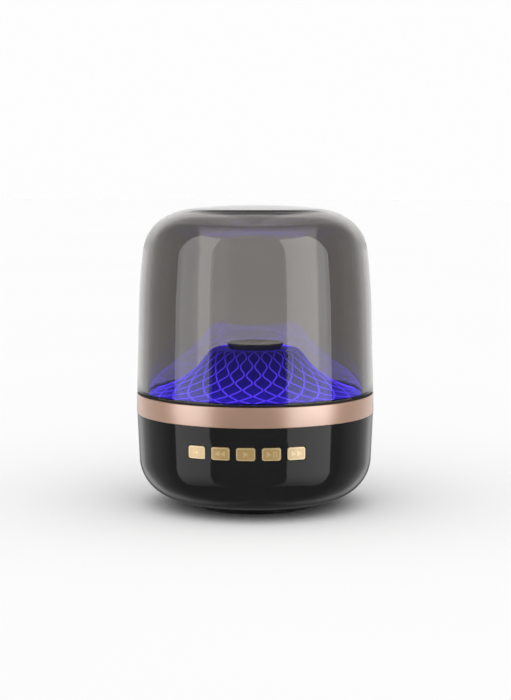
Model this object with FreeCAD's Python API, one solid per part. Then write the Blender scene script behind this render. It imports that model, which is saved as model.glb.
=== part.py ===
import FreeCAD, Part
import math
import os

# A small wireless speaker with a light display: a smoked dome over a glowing bell-shaped light piece, a trim
# ring, a bowl-shaped base with five keys, and a low round foot. Millimetres. The table is z = 0, the body's
# axis is x = y = 0, the keys face -Y and the charging socket faces +Y.

# The bowl-shaped base shell
FOOT_HEIGHT = 2.4
FOOT_RADIUS = 22.6
FOOT_EDGE = 0.4
SOLE_RADIUS = 22.8
SOLE_BEND = 35.0
SOLE_TURN = math.radians(12.8)
BASE_CORNER = 14.95
BASE_CORNER_Z = FOOT_HEIGHT + SOLE_BEND - (SOLE_BEND - BASE_CORNER) * math.cos(SOLE_TURN)
BASE_LOW_RADIUS = SOLE_RADIUS + (SOLE_BEND - BASE_CORNER) * math.sin(SOLE_TURN) + BASE_CORNER
BASE_TOP = 33.84
BASE_TOP_RADIUS = 42.9
WALL = 2.2
FLOOR = FOOT_HEIGHT + WALL

# The trim ring, the deck frame inside it and the seal on top
RING_RADIUS = 43.0
RING_INNER = 41.8
RING_TOP = 41.0
RING_BEVEL = 0.3
SKIRT_RADIUS = 41.75
SKIRT_INNER = 39.4
SPIGOT_RADIUS = 40.4
SPIGOT_INNER = 38.2
SPIGOT_BOTTOM = 30.8
DECK_BOTTOM = 36.6
DECK_TOP = 38.6
LEDGE_INNER = 37.2
LEDGE_TOP = 39.6
LEAD_HOLE_RADIUS = 1.8
LEAD_HOLE_Y = 35.0
SEAL_TOP = 41.8
SEAL_INNER = 39.5
SEAL_RADIUS = 42.7

# The dome: a wall along a chain of tangent lines and arcs, thinner at the crown than at the side
DOME_FOOT_RADIUS = 42.88
DOME_WALL = 3.7
DOME_CROWN_WALL = 2.8
DOME_LEAN = 1.6
DOME_SIDE = 29.2
DOME_ARCS = ((230.0, 5.4), (15.4, 47.4), (22.3, 29.3))

# The light piece and its cap
CONE_BRIM_RADIUS = 39.1
CONE_BRIM_TOP = 41.07
CONE_BRIM_RISE = 12.0
CONE_STEPS = ((40.0, -28.0), (12.0, -12.0), (4.97,), (4.5, 52.0))
CONE_WALL = 1.2
CAP_RADIUS = 10.35
CAP_BOTTOM_RADIUS = 9.6
CAP_THICK = 2.1
CAP_DISH = 0.4
CAP_LIP = 0.8
CAP_EDGE = 0.2
CAP_PEG_RADIUS = 3.0
CAP_PEG_DROP = 2.6
PEG_GAP = 0.1

# The board under the light piece
LED_BOARD_RADIUS = 30.5
LED_BOARD_INNER = 9.0
LED_BOARD_THICK = 1.2
LED_SIZE = 5.0
LED_HEIGHT = 1.6
LED_COUNT = 16
LED_CIRCLE = 23.5

# The keys. All five slide along Y because the board behind them is flat.
KEY_COUNT = 5
KEY_PITCH = 11.8
KEY_CIRCLE = 42.65
KEY_WIDTH = 6.5
KEY_HEIGHT = 4.45
KEY_Z = 24.95
KEY_CORNER = 0.8
KEY_GAP = 0.25
KEY_PROUD = 0.3
KEY_EDGE = 0.12
KEY_RIM = 0.5
KEY_RECESS = 0.1
KEY_LIP = 0.7
KEY_LIP_THICK = 0.9
KEY_LIP_GAP = 0.15
KEY_STEM_RADIUS = 1.4
SYMBOL_HEIGHT = 2.2
SYMBOL_RAISE = 0.07
SYMBOL_BAR = 0.42
SYMBOL_SPACE = 0.2

# The flat board behind the keys and its switches
TACT_SIZE = 4.6
TACT_FRONT = -30.8
TACT_THICK = 2.0
TACT_BUTTON_RADIUS = 1.15
TACT_BUTTON_OUT = 1.4
TACT_BUTTON_IN = 0.8
TACT_BORE_RADIUS = 1.3
TACT_BORE_DEPTH = 1.5
KEY_BOARD_THICK = 1.2
KEY_BOARD_HALF = 23.4
KEY_BOARD_BOTTOM = 19.8
KEY_BOARD_TOP = 30.6
GUIDE_INNER = 22.4
GUIDE_OUTER = 30.0
GUIDE_HALF = 2.0
GUIDE_TOP = 29.8
GUIDE_PLAY = 0.05
GUIDE_END_PLAY = 0.2

# Fastening posts
CASE_POST_X = 30.4
CASE_POST_Y = 14.2
CASE_POST_RADIUS = 2.9
CASE_PILOT = 0.9
CASE_PILOT_DEPTH = 12.0
CASE_RIB = 0.6
CASE_RIB_TOP = 30.5
SCREW_PLAY = 0.3
CASE_SCREW_RADIUS = 1.0
CASE_SCREW_HEAD = 2.1
CASE_SCREW_HEAD_HEIGHT = 1.3
CASE_SCREW_LENGTH = 11.0
CROSS_WIDTH = 0.5
CROSS_DEPTH = 0.6

# The baffle that carries the driver above the outlet slots
CHAMBER_INNER = 29.0
CHAMBER_OUTER = 30.4
BAFFLE_BOTTOM = 7.2
BAFFLE_TOP = 8.8
BAFFLE_RADIUS = 33.4
BAFFLE_NOTCH_GAP = 0.25
BAFFLE_HOLE = 20.6
BAFFLE_POST_CIRCLE = 31.4
BAFFLE_POST_RADIUS = 2.1
BAFFLE_PILOT = 0.7
BAFFLE_PILOT_DEPTH = 2.6
EAR_CIRCLE = 25.0
EAR_RADIUS = 2.5
EAR_BOSS_RADIUS = 1.8
EAR_BOSS_BOTTOM = 5.6
SMALL_SCREW_RADIUS = 0.8
SMALL_SCREW_HEAD = 1.6
SMALL_SCREW_HEAD_HEIGHT = 0.9
SMALL_SCREW_LENGTH = 3.8
SLOT_COUNT = 36
SLOT_START = 23.6
SLOT_END = 26.8
SLOT_WIDTH = 1.5

# The driver, which faces down
GASKET_TOP = 9.4
GASKET_RADIUS = 22.5
FLANGE_RADIUS = 22.6
FLANGE_INNER = 19.9
FLANGE_TOP = 10.2
BASKET_DISC_BOTTOM = 16.8
BASKET_DISC_TOP = 17.6
BASKET_DISC_RADIUS = 14.6
BASKET_THROAT = 8.4
BASKET_WINDOWS = 6
ROLL_CENTRE = 17.6
ROLL_RADIUS = 1.4
ROLL_THICK = 0.35
ROLL_Z = 9.05
DIAPHRAGM_RADIUS = 16.2
NECK_RADIUS = 6.85
NECK_Z = 14.2
PAPER = 0.45
DUST_CAP_RADIUS = 7.8
DUST_CAP_Z = 13.5
DUST_CAP_SAG = 2.1
DUST_CAP_THICK = 0.3
FORMER_INNER = 6.6
FORMER_BOTTOM = 13.6
FORMER_TOP = 21.4
COIL_RADIUS = 7.25
COIL_BOTTOM = 17.7
COIL_TOP = 21.2
SPIDER_INNER = 6.9
SPIDER_RADIUS = 13.4
SPIDER_WAVES = 4
SPIDER_WAVE = 0.25
SPIDER_Z = 15.7
SPIDER_THICK = 0.3
PLATE_HOLE = 7.6
PLATE_RADIUS = 14.0
PLATE_TOP = 20.0
MAGNET_INNER = 9.0
MAGNET_RADIUS = 15.5
MAGNET_TOP = 24.6
YOKE_TOP = 26.6
POLE_RADIUS = 6.2
TAG_HALF = 4.5
TAG_OUT = 17.9
TAG_THICK = 0.8
LUG_X = 3.0
LUG_HALF = 0.8
LUG_THICK = 0.4

# The battery under the deck
BATTERY_HALF_X = 25.0
BATTERY_HALF_Y = 17.0
BATTERY_BOTTOM = 30.2
BATTERY_TOP = 36.2
BATTERY_EDGE = 1.6
GUARD_THICK = 1.2
GUARD_HALF = 14.0
PAD_HALF_X = 20.0
PAD_HALF_Y = 13.0

# The main board, a flat segment behind the driver
BOARD_FRONT = 19.5
BOARD_RADIUS = 39.2
BOARD_BOTTOM = 19.8
BOARD_TOP = 21.0
BOARD_POST_X = 23.0
BOARD_POST_Y = 25.5
BOARD_POST_RADIUS = 2.3
BOARD_PILOT_DEPTH = 8.0
BOARD_HOLE = 1.1
BT_CHIP = (6.0, 28.0, 6.0, 6.0, 0.9)
AMP_CHIP = (-11.5, 28.5, 4.9, 3.9, 1.5)
INDUCTOR = (-4.5, 28.5, 5.0, 5.0, 3.0)
CRYSTAL = (12.5, 32.0, 3.2, 2.5, 0.8)
SOCKETS = ((28.2, 22.2), (-28.2, 22.2), (9.0, 22.0), (-5.0, 22.0))
SOCKET_WIDTH = 4.8
SOCKET_DEPTH = 3.6
SOCKET_HEIGHT = 3.4
CAPACITORS = ((15.6, 25.4), (-18.0, 23.2))
CAPACITOR_RADIUS = 3.1
CAPACITOR_HEIGHT = 7.4

# The USB type C receptacle
USB_WIDTH = 8.94
USB_HEIGHT = 3.26
USB_WALL = 0.3
USB_DEPTH = 7.35
USB_MOUTH = 41.7
USB_TONGUE_WIDTH = 6.69
USB_TONGUE_THICK = 0.7
USB_TONGUE_BACK = 1.0
USB_TONGUE_SET_BACK = 0.6
USB_PLAY = 0.35
POCKET_WIDTH = 12.8
POCKET_HEIGHT = 7.0
POCKET_DEPTH = 0.7

# The on and off switch beside it
SWITCH_X = -13.5
SWITCH_BODY_WIDTH = 8.6
SWITCH_BODY_HEIGHT = 3.5
SWITCH_BODY_BACK = 32.4
SWITCH_BODY_MOUTH = 35.9
SWITCH_TRAVEL = 2.0
SWITCH_LEVER = 1.6
SWITCH_LEVER_START = 34.0
SWITCH_LEVER_END = 40.9
SWITCH_PLAY = 0.2
SWITCH_SLOT_PLAY = 0.35
SWITCH_POCKET = 1.2

# Short leads between the boards
LEAD_RADIUS = 0.45
LEAD_SPACING = 1.0

ORIGIN = FreeCAD.Vector(0, 0, 0)
UP = FreeCAD.Vector(0, 0, 1)


def at(x, y, z):
    return FreeCAD.Vector(x, y, z)


def disc(radius, bottom, top, x=0.0, y=0.0):
    return Part.makeCylinder(radius, top - bottom, at(x, y, bottom))


def tube(inner, outer, bottom, top):
    return disc(outer, bottom, top).cut(disc(inner, bottom, top))


def block(left, right, front, back, bottom, top):
    return Part.makeBox(right - left, back - front, top - bottom, at(left, front, bottom))


def turn(shape, degrees):
    turned_shape = shape.copy()
    turned_shape.rotate(ORIGIN, UP, degrees)
    return turned_shape


def around(shape, count):
    """Copies of shape spaced evenly round the axis."""
    return [turn(shape, 360.0 * step / count) for step in range(count)]


def four_corners(x, y):
    return [(side * x, end * y) for side in (1, -1) for end in (1, -1)]


def joined(shapes):
    first, rest = shapes[0], shapes[1:]
    return first.fuse(rest).removeSplitter() if rest else first


def group(shapes):
    return Part.makeCompound(shapes)


def spun(edges):
    """The solid that a closed outline in the plane y = 0 sweeps round the axis."""
    wire = Part.Wire(Part.__sortEdges__(edges))
    solid = Part.Face(wire).revolve(ORIGIN, UP, 360)
    if solid.Volume < 0:
        solid.reverse()
    return solid


def line(first, second):
    return Part.makeLine(at(first[0], 0, first[1]), at(second[0], 0, second[1]))


def arc(first, middle, last):
    return Part.Arc(*[at(radius, 0, height) for radius, height in (first, middle, last)]).toShape()


def lens(radius, height, sag):
    """The arc from (radius, height) to the axis that sinks by sag and ends level."""
    bend = (radius * radius + sag * sag) / (2 * sag)
    half = math.asin(radius / bend) / 2
    low = height - sag
    return arc((radius, height), (bend * math.sin(half), low + bend * (1 - math.cos(half))), (0, low))


def polygon(points):
    return [line(a, b) for a, b in zip(points, points[1:] + points[:1])]


def turned(points):
    return spun(polygon(points))


def chain(start, heading, steps, inset):
    """Edges of tangent lines and arcs in the plane y = 0, moved to their left by inset, and both of their ends.

    A step is (length,) for a line or (radius, turn in degrees) for an arc, where a positive turn is to the left.
    """
    edges = []
    angle = math.radians(heading)
    radius = start[0] - inset * math.sin(angle)
    height = start[1] + inset * math.cos(angle)
    first = (radius, height)
    for step in steps:
        begin = (radius, height)
        if len(step) == 1:
            radius += step[0] * math.cos(angle)
            height += step[0] * math.sin(angle)
            edges.append(line(begin, (radius, height)))
            continue
        sweep = math.radians(step[1])
        side = math.copysign(1.0, sweep)
        bend = step[0] - side * inset
        centre = (radius - side * bend * math.sin(angle), height + side * bend * math.cos(angle))
        half, whole = [
            (centre[0] + side * bend * math.sin(angle + part), centre[1] - side * bend * math.cos(angle + part))
            for part in (sweep / 2, sweep)
        ]
        edges.append(arc(begin, half, whole))
        radius, height = whole
        angle += sweep
    return edges, first, (radius, height)


def rounded_bar(x, z, width, height, corner, front, back):
    """A bar along Y with a rounded rectangular section."""
    left, right = x - width / 2, x + width / 2
    low, high = z - height / 2, z + height / 2
    bar = block(left, right, front, back, low, high)
    along = [edge for edge in bar.Edges if abs(edge.tangentAt(edge.FirstParameter).y) > 0.9]
    return bar.makeFillet(corner, along)


def side_radius(height):
    share = (height - BASE_CORNER_Z) / (BASE_TOP - BASE_CORNER_Z)
    return BASE_LOW_RADIUS + share * (BASE_TOP_RADIUS - BASE_LOW_RADIUS)


def bowl(inset, top=BASE_TOP):
    """All that lies inside the base's outer surface moved in by inset, up to the height top."""
    turned_left = math.degrees(SOLE_TURN)
    bends = ((SOLE_BEND, turned_left), (BASE_CORNER, 90 - turned_left))
    outline, sole, side = chain((SOLE_RADIUS, FOOT_HEIGHT), 0.0, bends, inset)
    rim = (side_radius(top) - inset, top)
    closing = [
        line((0, top), (0, sole[1])),
        line((0, sole[1]), sole),
        line(side, rim),
        line(rim, (0, top)),
    ]
    return spun(outline + closing)


def band(outer_inset, inner_inset):
    return bowl(outer_inset).cut(bowl(inner_inset))


# The visible shell


def make_foot_pad():
    outline = [
        (0, 0),
        (FOOT_RADIUS - FOOT_EDGE, 0),
        (FOOT_RADIUS, FOOT_EDGE),
        (FOOT_RADIUS, FOOT_HEIGHT),
        (0, FOOT_HEIGHT),
    ]
    return turned(outline)


def outlet_slots():
    middle = (SLOT_START + SLOT_END) / 2
    half = (SLOT_END - SLOT_START) / 2 - SLOT_WIDTH / 2
    low, high = FOOT_HEIGHT - 1, FLOOR + 1
    bar = block(middle - half, middle + half, -SLOT_WIDTH / 2, SLOT_WIDTH / 2, low, high)
    ends = [disc(SLOT_WIDTH / 2, low, high, x=middle + side * half) for side in (1, -1)]
    return around(joined([bar] + ends), SLOT_COUNT)


def case_posts():
    posts = []
    reach = math.hypot(CASE_POST_X, CASE_POST_Y)
    for x, y in four_corners(CASE_POST_X, CASE_POST_Y):
        rib = block(reach, BASE_LOW_RADIUS, -CASE_RIB, CASE_RIB, FLOOR, CASE_RIB_TOP)
        post = disc(CASE_POST_RADIUS, FLOOR, DECK_BOTTOM, x, y)
        posts.append(post.fuse(turn(rib, math.degrees(math.atan2(y, x)))))
    return posts


def case_pilots():
    low = DECK_BOTTOM - CASE_PILOT_DEPTH
    return [disc(CASE_PILOT, low, DECK_BOTTOM, x, y) for x, y in four_corners(CASE_POST_X, CASE_POST_Y)]


def key_board_guides():
    """Two grooved ribs that the key board slides down between."""
    back = TACT_FRONT + TACT_THICK
    middle = back + KEY_BOARD_THICK / 2
    guides = []
    for side in (1, -1):
        near, far = sorted((side * GUIDE_INNER, side * GUIDE_OUTER))
        rib = block(near, far, middle - GUIDE_HALF, middle + GUIDE_HALF, FLOOR, GUIDE_TOP)
        near, far = sorted((0, side * (KEY_BOARD_HALF + GUIDE_END_PLAY)))
        slot = block(
            near,
            far,
            back - GUIDE_PLAY,
            back + KEY_BOARD_THICK + GUIDE_PLAY,
            KEY_BOARD_BOTTOM,
            KEY_BOARD_TOP,
        )
        guides.append(rib.cut(slot))
    return guides


def board_posts():
    posts = []
    for side in (1, -1):
        post = disc(BOARD_POST_RADIUS, FLOOR, BOARD_BOTTOM, side * BOARD_POST_X, BOARD_POST_Y)
        low = BOARD_BOTTOM - BOARD_PILOT_DEPTH
        posts.append(post.cut(disc(BAFFLE_PILOT, low, BOARD_BOTTOM, side * BOARD_POST_X, BOARD_POST_Y)))
    return posts


def baffle_posts():
    post = disc(BAFFLE_POST_RADIUS, FLOOR - 0.5, BAFFLE_BOTTOM, x=BAFFLE_POST_CIRCLE)
    return around(post, 4)


def baffle_pilots():
    pilot = disc(BAFFLE_PILOT, BAFFLE_BOTTOM - BAFFLE_PILOT_DEPTH, BAFFLE_BOTTOM, x=BAFFLE_POST_CIRCLE)
    return around(pilot, 4)


def key_openings():
    cutters = []
    for number in range(KEY_COUNT):
        x, width = key_place(number)
        wide = width + 2 * KEY_GAP
        tall = KEY_HEIGHT + 2 * KEY_GAP
        cutters.append(rounded_bar(x, KEY_Z, wide, tall, KEY_CORNER + KEY_GAP, -RING_RADIUS - 2, TACT_FRONT))
    return cutters


def usb_middle():
    return BOARD_TOP + USB_HEIGHT / 2


def switch_middle():
    return BOARD_TOP + SWITCH_BODY_HEIGHT / 2


def rear_openings():
    """The charging opening with a shallow pocket for the plug, and the switch slot in its own pocket."""
    outside = RING_RADIUS + 2
    wide, tall = USB_WIDTH + 2 * USB_PLAY, USB_HEIGHT + 2 * USB_PLAY
    inside = USB_MOUTH - USB_DEPTH
    opening = rounded_bar(0, usb_middle(), wide, tall, tall / 2 - 0.01, inside, outside)
    pocket = rounded_bar(0, usb_middle(), POCKET_WIDTH, POCKET_HEIGHT, 2.0, inside, outside)
    slot_wide = SWITCH_LEVER + SWITCH_TRAVEL + 2 * SWITCH_SLOT_PLAY
    slot_tall = SWITCH_LEVER + 2 * SWITCH_SLOT_PLAY
    slot = rounded_bar(SWITCH_X, switch_middle(), slot_wide, slot_tall, 0.5, SWITCH_BODY_BACK, outside)
    slot_pocket = rounded_bar(
        SWITCH_X,
        switch_middle(),
        slot_wide + 2 * SWITCH_POCKET,
        slot_tall + 2 * SWITCH_POCKET,
        1.2,
        SWITCH_BODY_BACK,
        outside,
    )
    floor = bowl(POCKET_DEPTH)
    return [opening, pocket.cut(floor), slot, slot_pocket.cut(floor)]


def make_base_shell():
    inside = bowl(WALL / 2)
    shell = bowl(0).cut(bowl(WALL))
    chamber = tube(CHAMBER_INNER, CHAMBER_OUTER, FLOOR - 0.5, BAFFLE_BOTTOM)
    fixtures = [chamber] + key_board_guides() + board_posts() + baffle_posts()
    fixtures = [piece.common(inside) for piece in fixtures]
    posts = case_posts()
    tall = [piece.common(inside.fuse(disc(SPIGOT_INNER, BASE_TOP, DECK_BOTTOM))) for piece in posts]
    shell = shell.fuse(fixtures + tall)
    cutters = outlet_slots() + case_pilots() + baffle_pilots() + key_openings() + rear_openings()
    return shell.cut(cutters).removeSplitter()


def make_trim_ring():
    outline = [
        (RING_INNER, BASE_TOP),
        (RING_RADIUS - RING_BEVEL, BASE_TOP),
        (RING_RADIUS, BASE_TOP + RING_BEVEL),
        (RING_RADIUS, RING_TOP - RING_BEVEL),
        (RING_RADIUS - RING_BEVEL, RING_TOP),
        (RING_INNER, RING_TOP),
    ]
    return turned(outline)


def make_deck_frame():
    skirt = tube(SKIRT_INNER, SKIRT_RADIUS, BASE_TOP, RING_TOP)
    spigot = tube(SPIGOT_INNER, SPIGOT_RADIUS, SPIGOT_BOTTOM, DECK_TOP)
    deck = disc(SPIGOT_RADIUS, DECK_BOTTOM, DECK_TOP)
    ledge = tube(LEDGE_INNER, SPIGOT_RADIUS, DECK_TOP, LEDGE_TOP)
    frame = joined([deck, skirt, spigot, ledge])
    holes = [
        disc(CASE_SCREW_RADIUS + SCREW_PLAY, DECK_BOTTOM, DECK_TOP, x, y)
        for x, y in four_corners(CASE_POST_X, CASE_POST_Y)
    ]
    holes.append(disc(LEAD_HOLE_RADIUS, DECK_BOTTOM, DECK_TOP, y=LEAD_HOLE_Y))
    return frame.cut(holes)


def make_dome_seal():
    return tube(SEAL_INNER, SEAL_RADIUS, RING_TOP, SEAL_TOP)


def dome_steps():
    """The dome's outline, closed by a crown arc whose centre lies on the axis."""
    steps = [(DOME_SIDE,)] + list(DOME_ARCS)
    start = (DOME_FOOT_RADIUS, SEAL_TOP)
    shoulder = chain(start, 90 + DOME_LEAN, steps, 0)[2]
    left = 90 - DOME_LEAN - sum(sweep for bend, sweep in DOME_ARCS)
    return steps + [(shoulder[0] / math.sin(math.radians(left)), left)]


def make_dome_cover():
    """The outer outline, and the same moved in by the wall and lifted so that the crown comes out thinner."""
    start = (DOME_FOOT_RADIUS, SEAL_TOP)
    outer, foot, crown = chain(start, 90 + DOME_LEAN, dome_steps(), 0)
    inner, inner_foot, inner_crown = chain(start, 90 + DOME_LEAN, dome_steps(), DOME_WALL)
    lift = DOME_WALL - DOME_CROWN_WALL
    for edge in inner:
        edge.translate(FreeCAD.Vector(0, 0, lift))
    low = (inner_foot[0], foot[1])
    closing = [
        line(foot, low),
        line(low, (inner_foot[0], inner_foot[1] + lift)),
        line(crown, (inner_crown[0], inner_crown[1] + lift)),
    ]
    return spun(outer + inner + closing)


def cone_outline(inset):
    """The bell-shaped outline moved in by inset, with its start at the brim and its end at the plateau."""
    return chain((CONE_BRIM_RADIUS, CONE_BRIM_TOP), 180 - CONE_BRIM_RISE, CONE_STEPS, inset)


def bell(inset):
    """All that lies under the light piece's outer surface moved in by inset, down to its foot."""
    outline, brim, edge = cone_outline(inset)
    closing = [
        line(edge, (0, edge[1])),
        line((0, edge[1]), (0, LEDGE_TOP)),
        line((0, LEDGE_TOP), (brim[0], LEDGE_TOP)),
        line((brim[0], LEDGE_TOP), brim),
    ]
    return spun(outline + closing)


def make_light_cone():
    """A bell-shaped shell with a flat plateau, standing on its brim."""
    top = cone_outline(0)[2][1]
    hollow = bell(CONE_WALL).common(disc(LEDGE_INNER + PEG_GAP, LEDGE_TOP, top))
    return bell(0).cut([hollow, disc(CAP_PEG_RADIUS + PEG_GAP, LEDGE_TOP, top)])


def make_cone_cap():
    bottom = cone_outline(0)[2][1]
    top = bottom + CAP_THICK
    lip = CAP_RADIUS - CAP_LIP
    edges = [
        line((0, bottom - CAP_PEG_DROP), (CAP_PEG_RADIUS, bottom - CAP_PEG_DROP)),
        line((CAP_PEG_RADIUS, bottom - CAP_PEG_DROP), (CAP_PEG_RADIUS, bottom)),
        line((CAP_PEG_RADIUS, bottom), (CAP_BOTTOM_RADIUS, bottom)),
        line((CAP_BOTTOM_RADIUS, bottom), (CAP_RADIUS, top - CAP_EDGE)),
        line((CAP_RADIUS, top - CAP_EDGE), (CAP_RADIUS - CAP_EDGE, top)),
        line((CAP_RADIUS - CAP_EDGE, top), (lip, top)),
        lens(lip, top, CAP_DISH),
        line((0, top - CAP_DISH), (0, bottom - CAP_PEG_DROP)),
    ]
    return spun(edges)


# The lights


def make_led_board():
    return tube(LED_BOARD_INNER, LED_BOARD_RADIUS, DECK_TOP, DECK_TOP + LED_BOARD_THICK)


def make_leds():
    bottom = DECK_TOP + LED_BOARD_THICK
    half = LED_SIZE / 2
    led = block(LED_CIRCLE - half, LED_CIRCLE + half, -half, half, bottom, bottom + LED_HEIGHT)
    window = disc(LED_SIZE * 0.4, bottom + LED_HEIGHT - 0.3, bottom + LED_HEIGHT, x=LED_CIRCLE)
    return group(around(led.cut(window), LED_COUNT))


# Screws


def screw(x, y, seat, radius, length, head, head_height):
    """A pan-head screw pointing down, with a cross in its head."""
    body = disc(radius, seat - length, seat, x, y).fuse(disc(head, seat, seat + head_height, x, y))
    long, short = head * 0.6, CROSS_WIDTH / 2
    top = seat + head_height
    low = top - CROSS_DEPTH
    cross = block(x - long, x + long, y - short, y + short, low, top)
    cross = cross.fuse(block(x - short, x + short, y - long, y + long, low, top))
    return body.cut(cross)


def make_case_screws():
    size = (CASE_SCREW_RADIUS - SCREW_PLAY / 2, CASE_SCREW_LENGTH, CASE_SCREW_HEAD, CASE_SCREW_HEAD_HEIGHT)
    return group([screw(x, y, DECK_TOP, *size) for x, y in four_corners(CASE_POST_X, CASE_POST_Y)])


def small_screw(x, y, seat):
    size = (BAFFLE_PILOT, SMALL_SCREW_LENGTH, SMALL_SCREW_HEAD, SMALL_SCREW_HEAD_HEIGHT)
    return screw(x, y, seat, *size)


def make_baffle_screws():
    return group(around(small_screw(BAFFLE_POST_CIRCLE, 0, BAFFLE_TOP), 4))


def make_driver_screws():
    return group([turn(piece, 45) for piece in around(small_screw(EAR_CIRCLE, 0, FLANGE_TOP), 4)])


def make_board_screws():
    return group([small_screw(side * BOARD_POST_X, BOARD_POST_Y, BOARD_TOP) for side in (1, -1)])


# The driver


def make_baffle_plate():
    plate = tube(BAFFLE_HOLE, BAFFLE_RADIUS, BAFFLE_BOTTOM, BAFFLE_TOP)
    boss = disc(EAR_BOSS_RADIUS, EAR_BOSS_BOTTOM, BAFFLE_TOP, x=EAR_CIRCLE)
    hole = disc(BAFFLE_PILOT, EAR_BOSS_BOTTOM, BAFFLE_TOP, x=EAR_CIRCLE)
    bosses = [turn(piece, 45) for piece in around(boss, 4)]
    pilots = [turn(piece, 45) for piece in around(hole, 4)]
    screw_holes = around(disc(BAFFLE_PILOT, BAFFLE_BOTTOM, BAFFLE_TOP, x=BAFFLE_POST_CIRCLE), 4)
    notches = [
        disc(CASE_POST_RADIUS + BAFFLE_NOTCH_GAP, BAFFLE_BOTTOM, BAFFLE_TOP, x, y)
        for x, y in four_corners(CASE_POST_X, CASE_POST_Y)
    ]
    for side in (1, -1):
        radius = BOARD_POST_RADIUS + BAFFLE_NOTCH_GAP
        notches.append(disc(radius, BAFFLE_BOTTOM, BAFFLE_TOP, side * BOARD_POST_X, BOARD_POST_Y))
    return plate.fuse(bosses).cut(pilots + screw_holes + notches)


def make_driver_gasket():
    return tube(BAFFLE_HOLE, GASKET_RADIUS, BAFFLE_TOP, GASKET_TOP)


def make_driver_basket():
    wall = 0.8
    outer = FLANGE_RADIUS - 1.4
    outline = [
        (FLANGE_INNER, GASKET_TOP),
        (FLANGE_RADIUS, GASKET_TOP),
        (FLANGE_RADIUS, FLANGE_TOP),
        (outer, FLANGE_TOP),
        (outer, FLANGE_TOP + 1.8),
        (BASKET_DISC_RADIUS, BASKET_DISC_BOTTOM - 0.2),
        (BASKET_DISC_RADIUS, BASKET_DISC_TOP),
        (BASKET_THROAT, BASKET_DISC_TOP),
        (BASKET_THROAT, BASKET_DISC_BOTTOM),
        (BASKET_DISC_RADIUS - wall, BASKET_DISC_BOTTOM),
        (BASKET_DISC_RADIUS - wall, BASKET_DISC_BOTTOM - 0.7),
        (outer - wall, FLANGE_TOP + 1.4),
        (outer - wall, FLANGE_TOP),
        (FLANGE_INNER, FLANGE_TOP),
    ]
    basket = turned(outline)
    ear = disc(EAR_RADIUS, GASKET_TOP, FLANGE_TOP, x=EAR_CIRCLE)
    ear = ear.fuse(block(FLANGE_RADIUS - 1, EAR_CIRCLE, -EAR_RADIUS, EAR_RADIUS, GASKET_TOP, FLANGE_TOP))
    ears = [turn(piece, 45) for piece in around(ear, 4)]
    tab = block(-TAG_HALF, TAG_HALF, PLATE_RADIUS - 1, TAG_OUT, BASKET_DISC_BOTTOM, BASKET_DISC_TOP)
    window = block(
        BASKET_DISC_RADIUS + 0.6,
        FLANGE_RADIUS,
        -3.4,
        3.4,
        FLANGE_TOP + 1.0,
        BASKET_DISC_BOTTOM - 0.6,
    )
    windows = around(window, BASKET_WINDOWS)
    hole = disc(SMALL_SCREW_RADIUS + SCREW_PLAY / 2, GASKET_TOP, FLANGE_TOP, x=EAR_CIRCLE)
    holes = [turn(piece, 45) for piece in around(hole, 4)]
    return basket.fuse(ears + [tab]).cut(windows + holes).removeSplitter()


def make_driver_surround():
    """A half roll that bulges down, with a flat lip on each side."""
    outer = ROLL_RADIUS
    inner = ROLL_RADIUS - ROLL_THICK
    top = ROLL_Z + ROLL_THICK
    far, near = BAFFLE_HOLE - 0.1, DIAPHRAGM_RADIUS - 0.7
    edges = [
        arc(
            (ROLL_CENTRE - outer, ROLL_Z),
            (ROLL_CENTRE, ROLL_Z - outer),
            (ROLL_CENTRE + outer, ROLL_Z),
        ),
        line((ROLL_CENTRE + outer, ROLL_Z), (far, ROLL_Z)),
        line((far, ROLL_Z), (far, top)),
        line((far, top), (ROLL_CENTRE + inner, top)),
        arc(
            (ROLL_CENTRE + inner, top),
            (ROLL_CENTRE, ROLL_Z - inner),
            (ROLL_CENTRE - inner, top),
        ),
        line((ROLL_CENTRE - inner, top), (near, top)),
        line((near, top), (near, ROLL_Z)),
        line((near, ROLL_Z), (ROLL_CENTRE - outer, ROLL_Z)),
    ]
    return spun(edges)


def make_driver_diaphragm():
    low = ROLL_Z + ROLL_THICK
    outline = [
        (DIAPHRAGM_RADIUS, low),
        (DIAPHRAGM_RADIUS, low + PAPER),
        (DIAPHRAGM_RADIUS - 0.6, low + PAPER),
        (NECK_RADIUS + 0.25, NECK_Z + PAPER),
        (NECK_RADIUS, NECK_Z + PAPER),
        (NECK_RADIUS, NECK_Z),
        (DIAPHRAGM_RADIUS - 0.9, low),
    ]
    return turned(outline)


def make_driver_dust_cap():
    """A shallow dome glued to the front of the cone."""
    inner = DUST_CAP_RADIUS - DUST_CAP_THICK
    low = DUST_CAP_Z - DUST_CAP_SAG
    edges = [
        lens(DUST_CAP_RADIUS, DUST_CAP_Z, DUST_CAP_SAG),
        line((0, low), (0, low + DUST_CAP_THICK)),
        lens(inner, DUST_CAP_Z, DUST_CAP_SAG - DUST_CAP_THICK),
        line((inner, DUST_CAP_Z), (DUST_CAP_RADIUS, DUST_CAP_Z)),
    ]
    return spun(edges)


def make_voice_coil_former():
    return tube(FORMER_INNER, NECK_RADIUS, FORMER_BOTTOM, FORMER_TOP)


def make_voice_coil():
    return tube(NECK_RADIUS, COIL_RADIUS, COIL_BOTTOM, COIL_TOP)


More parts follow.
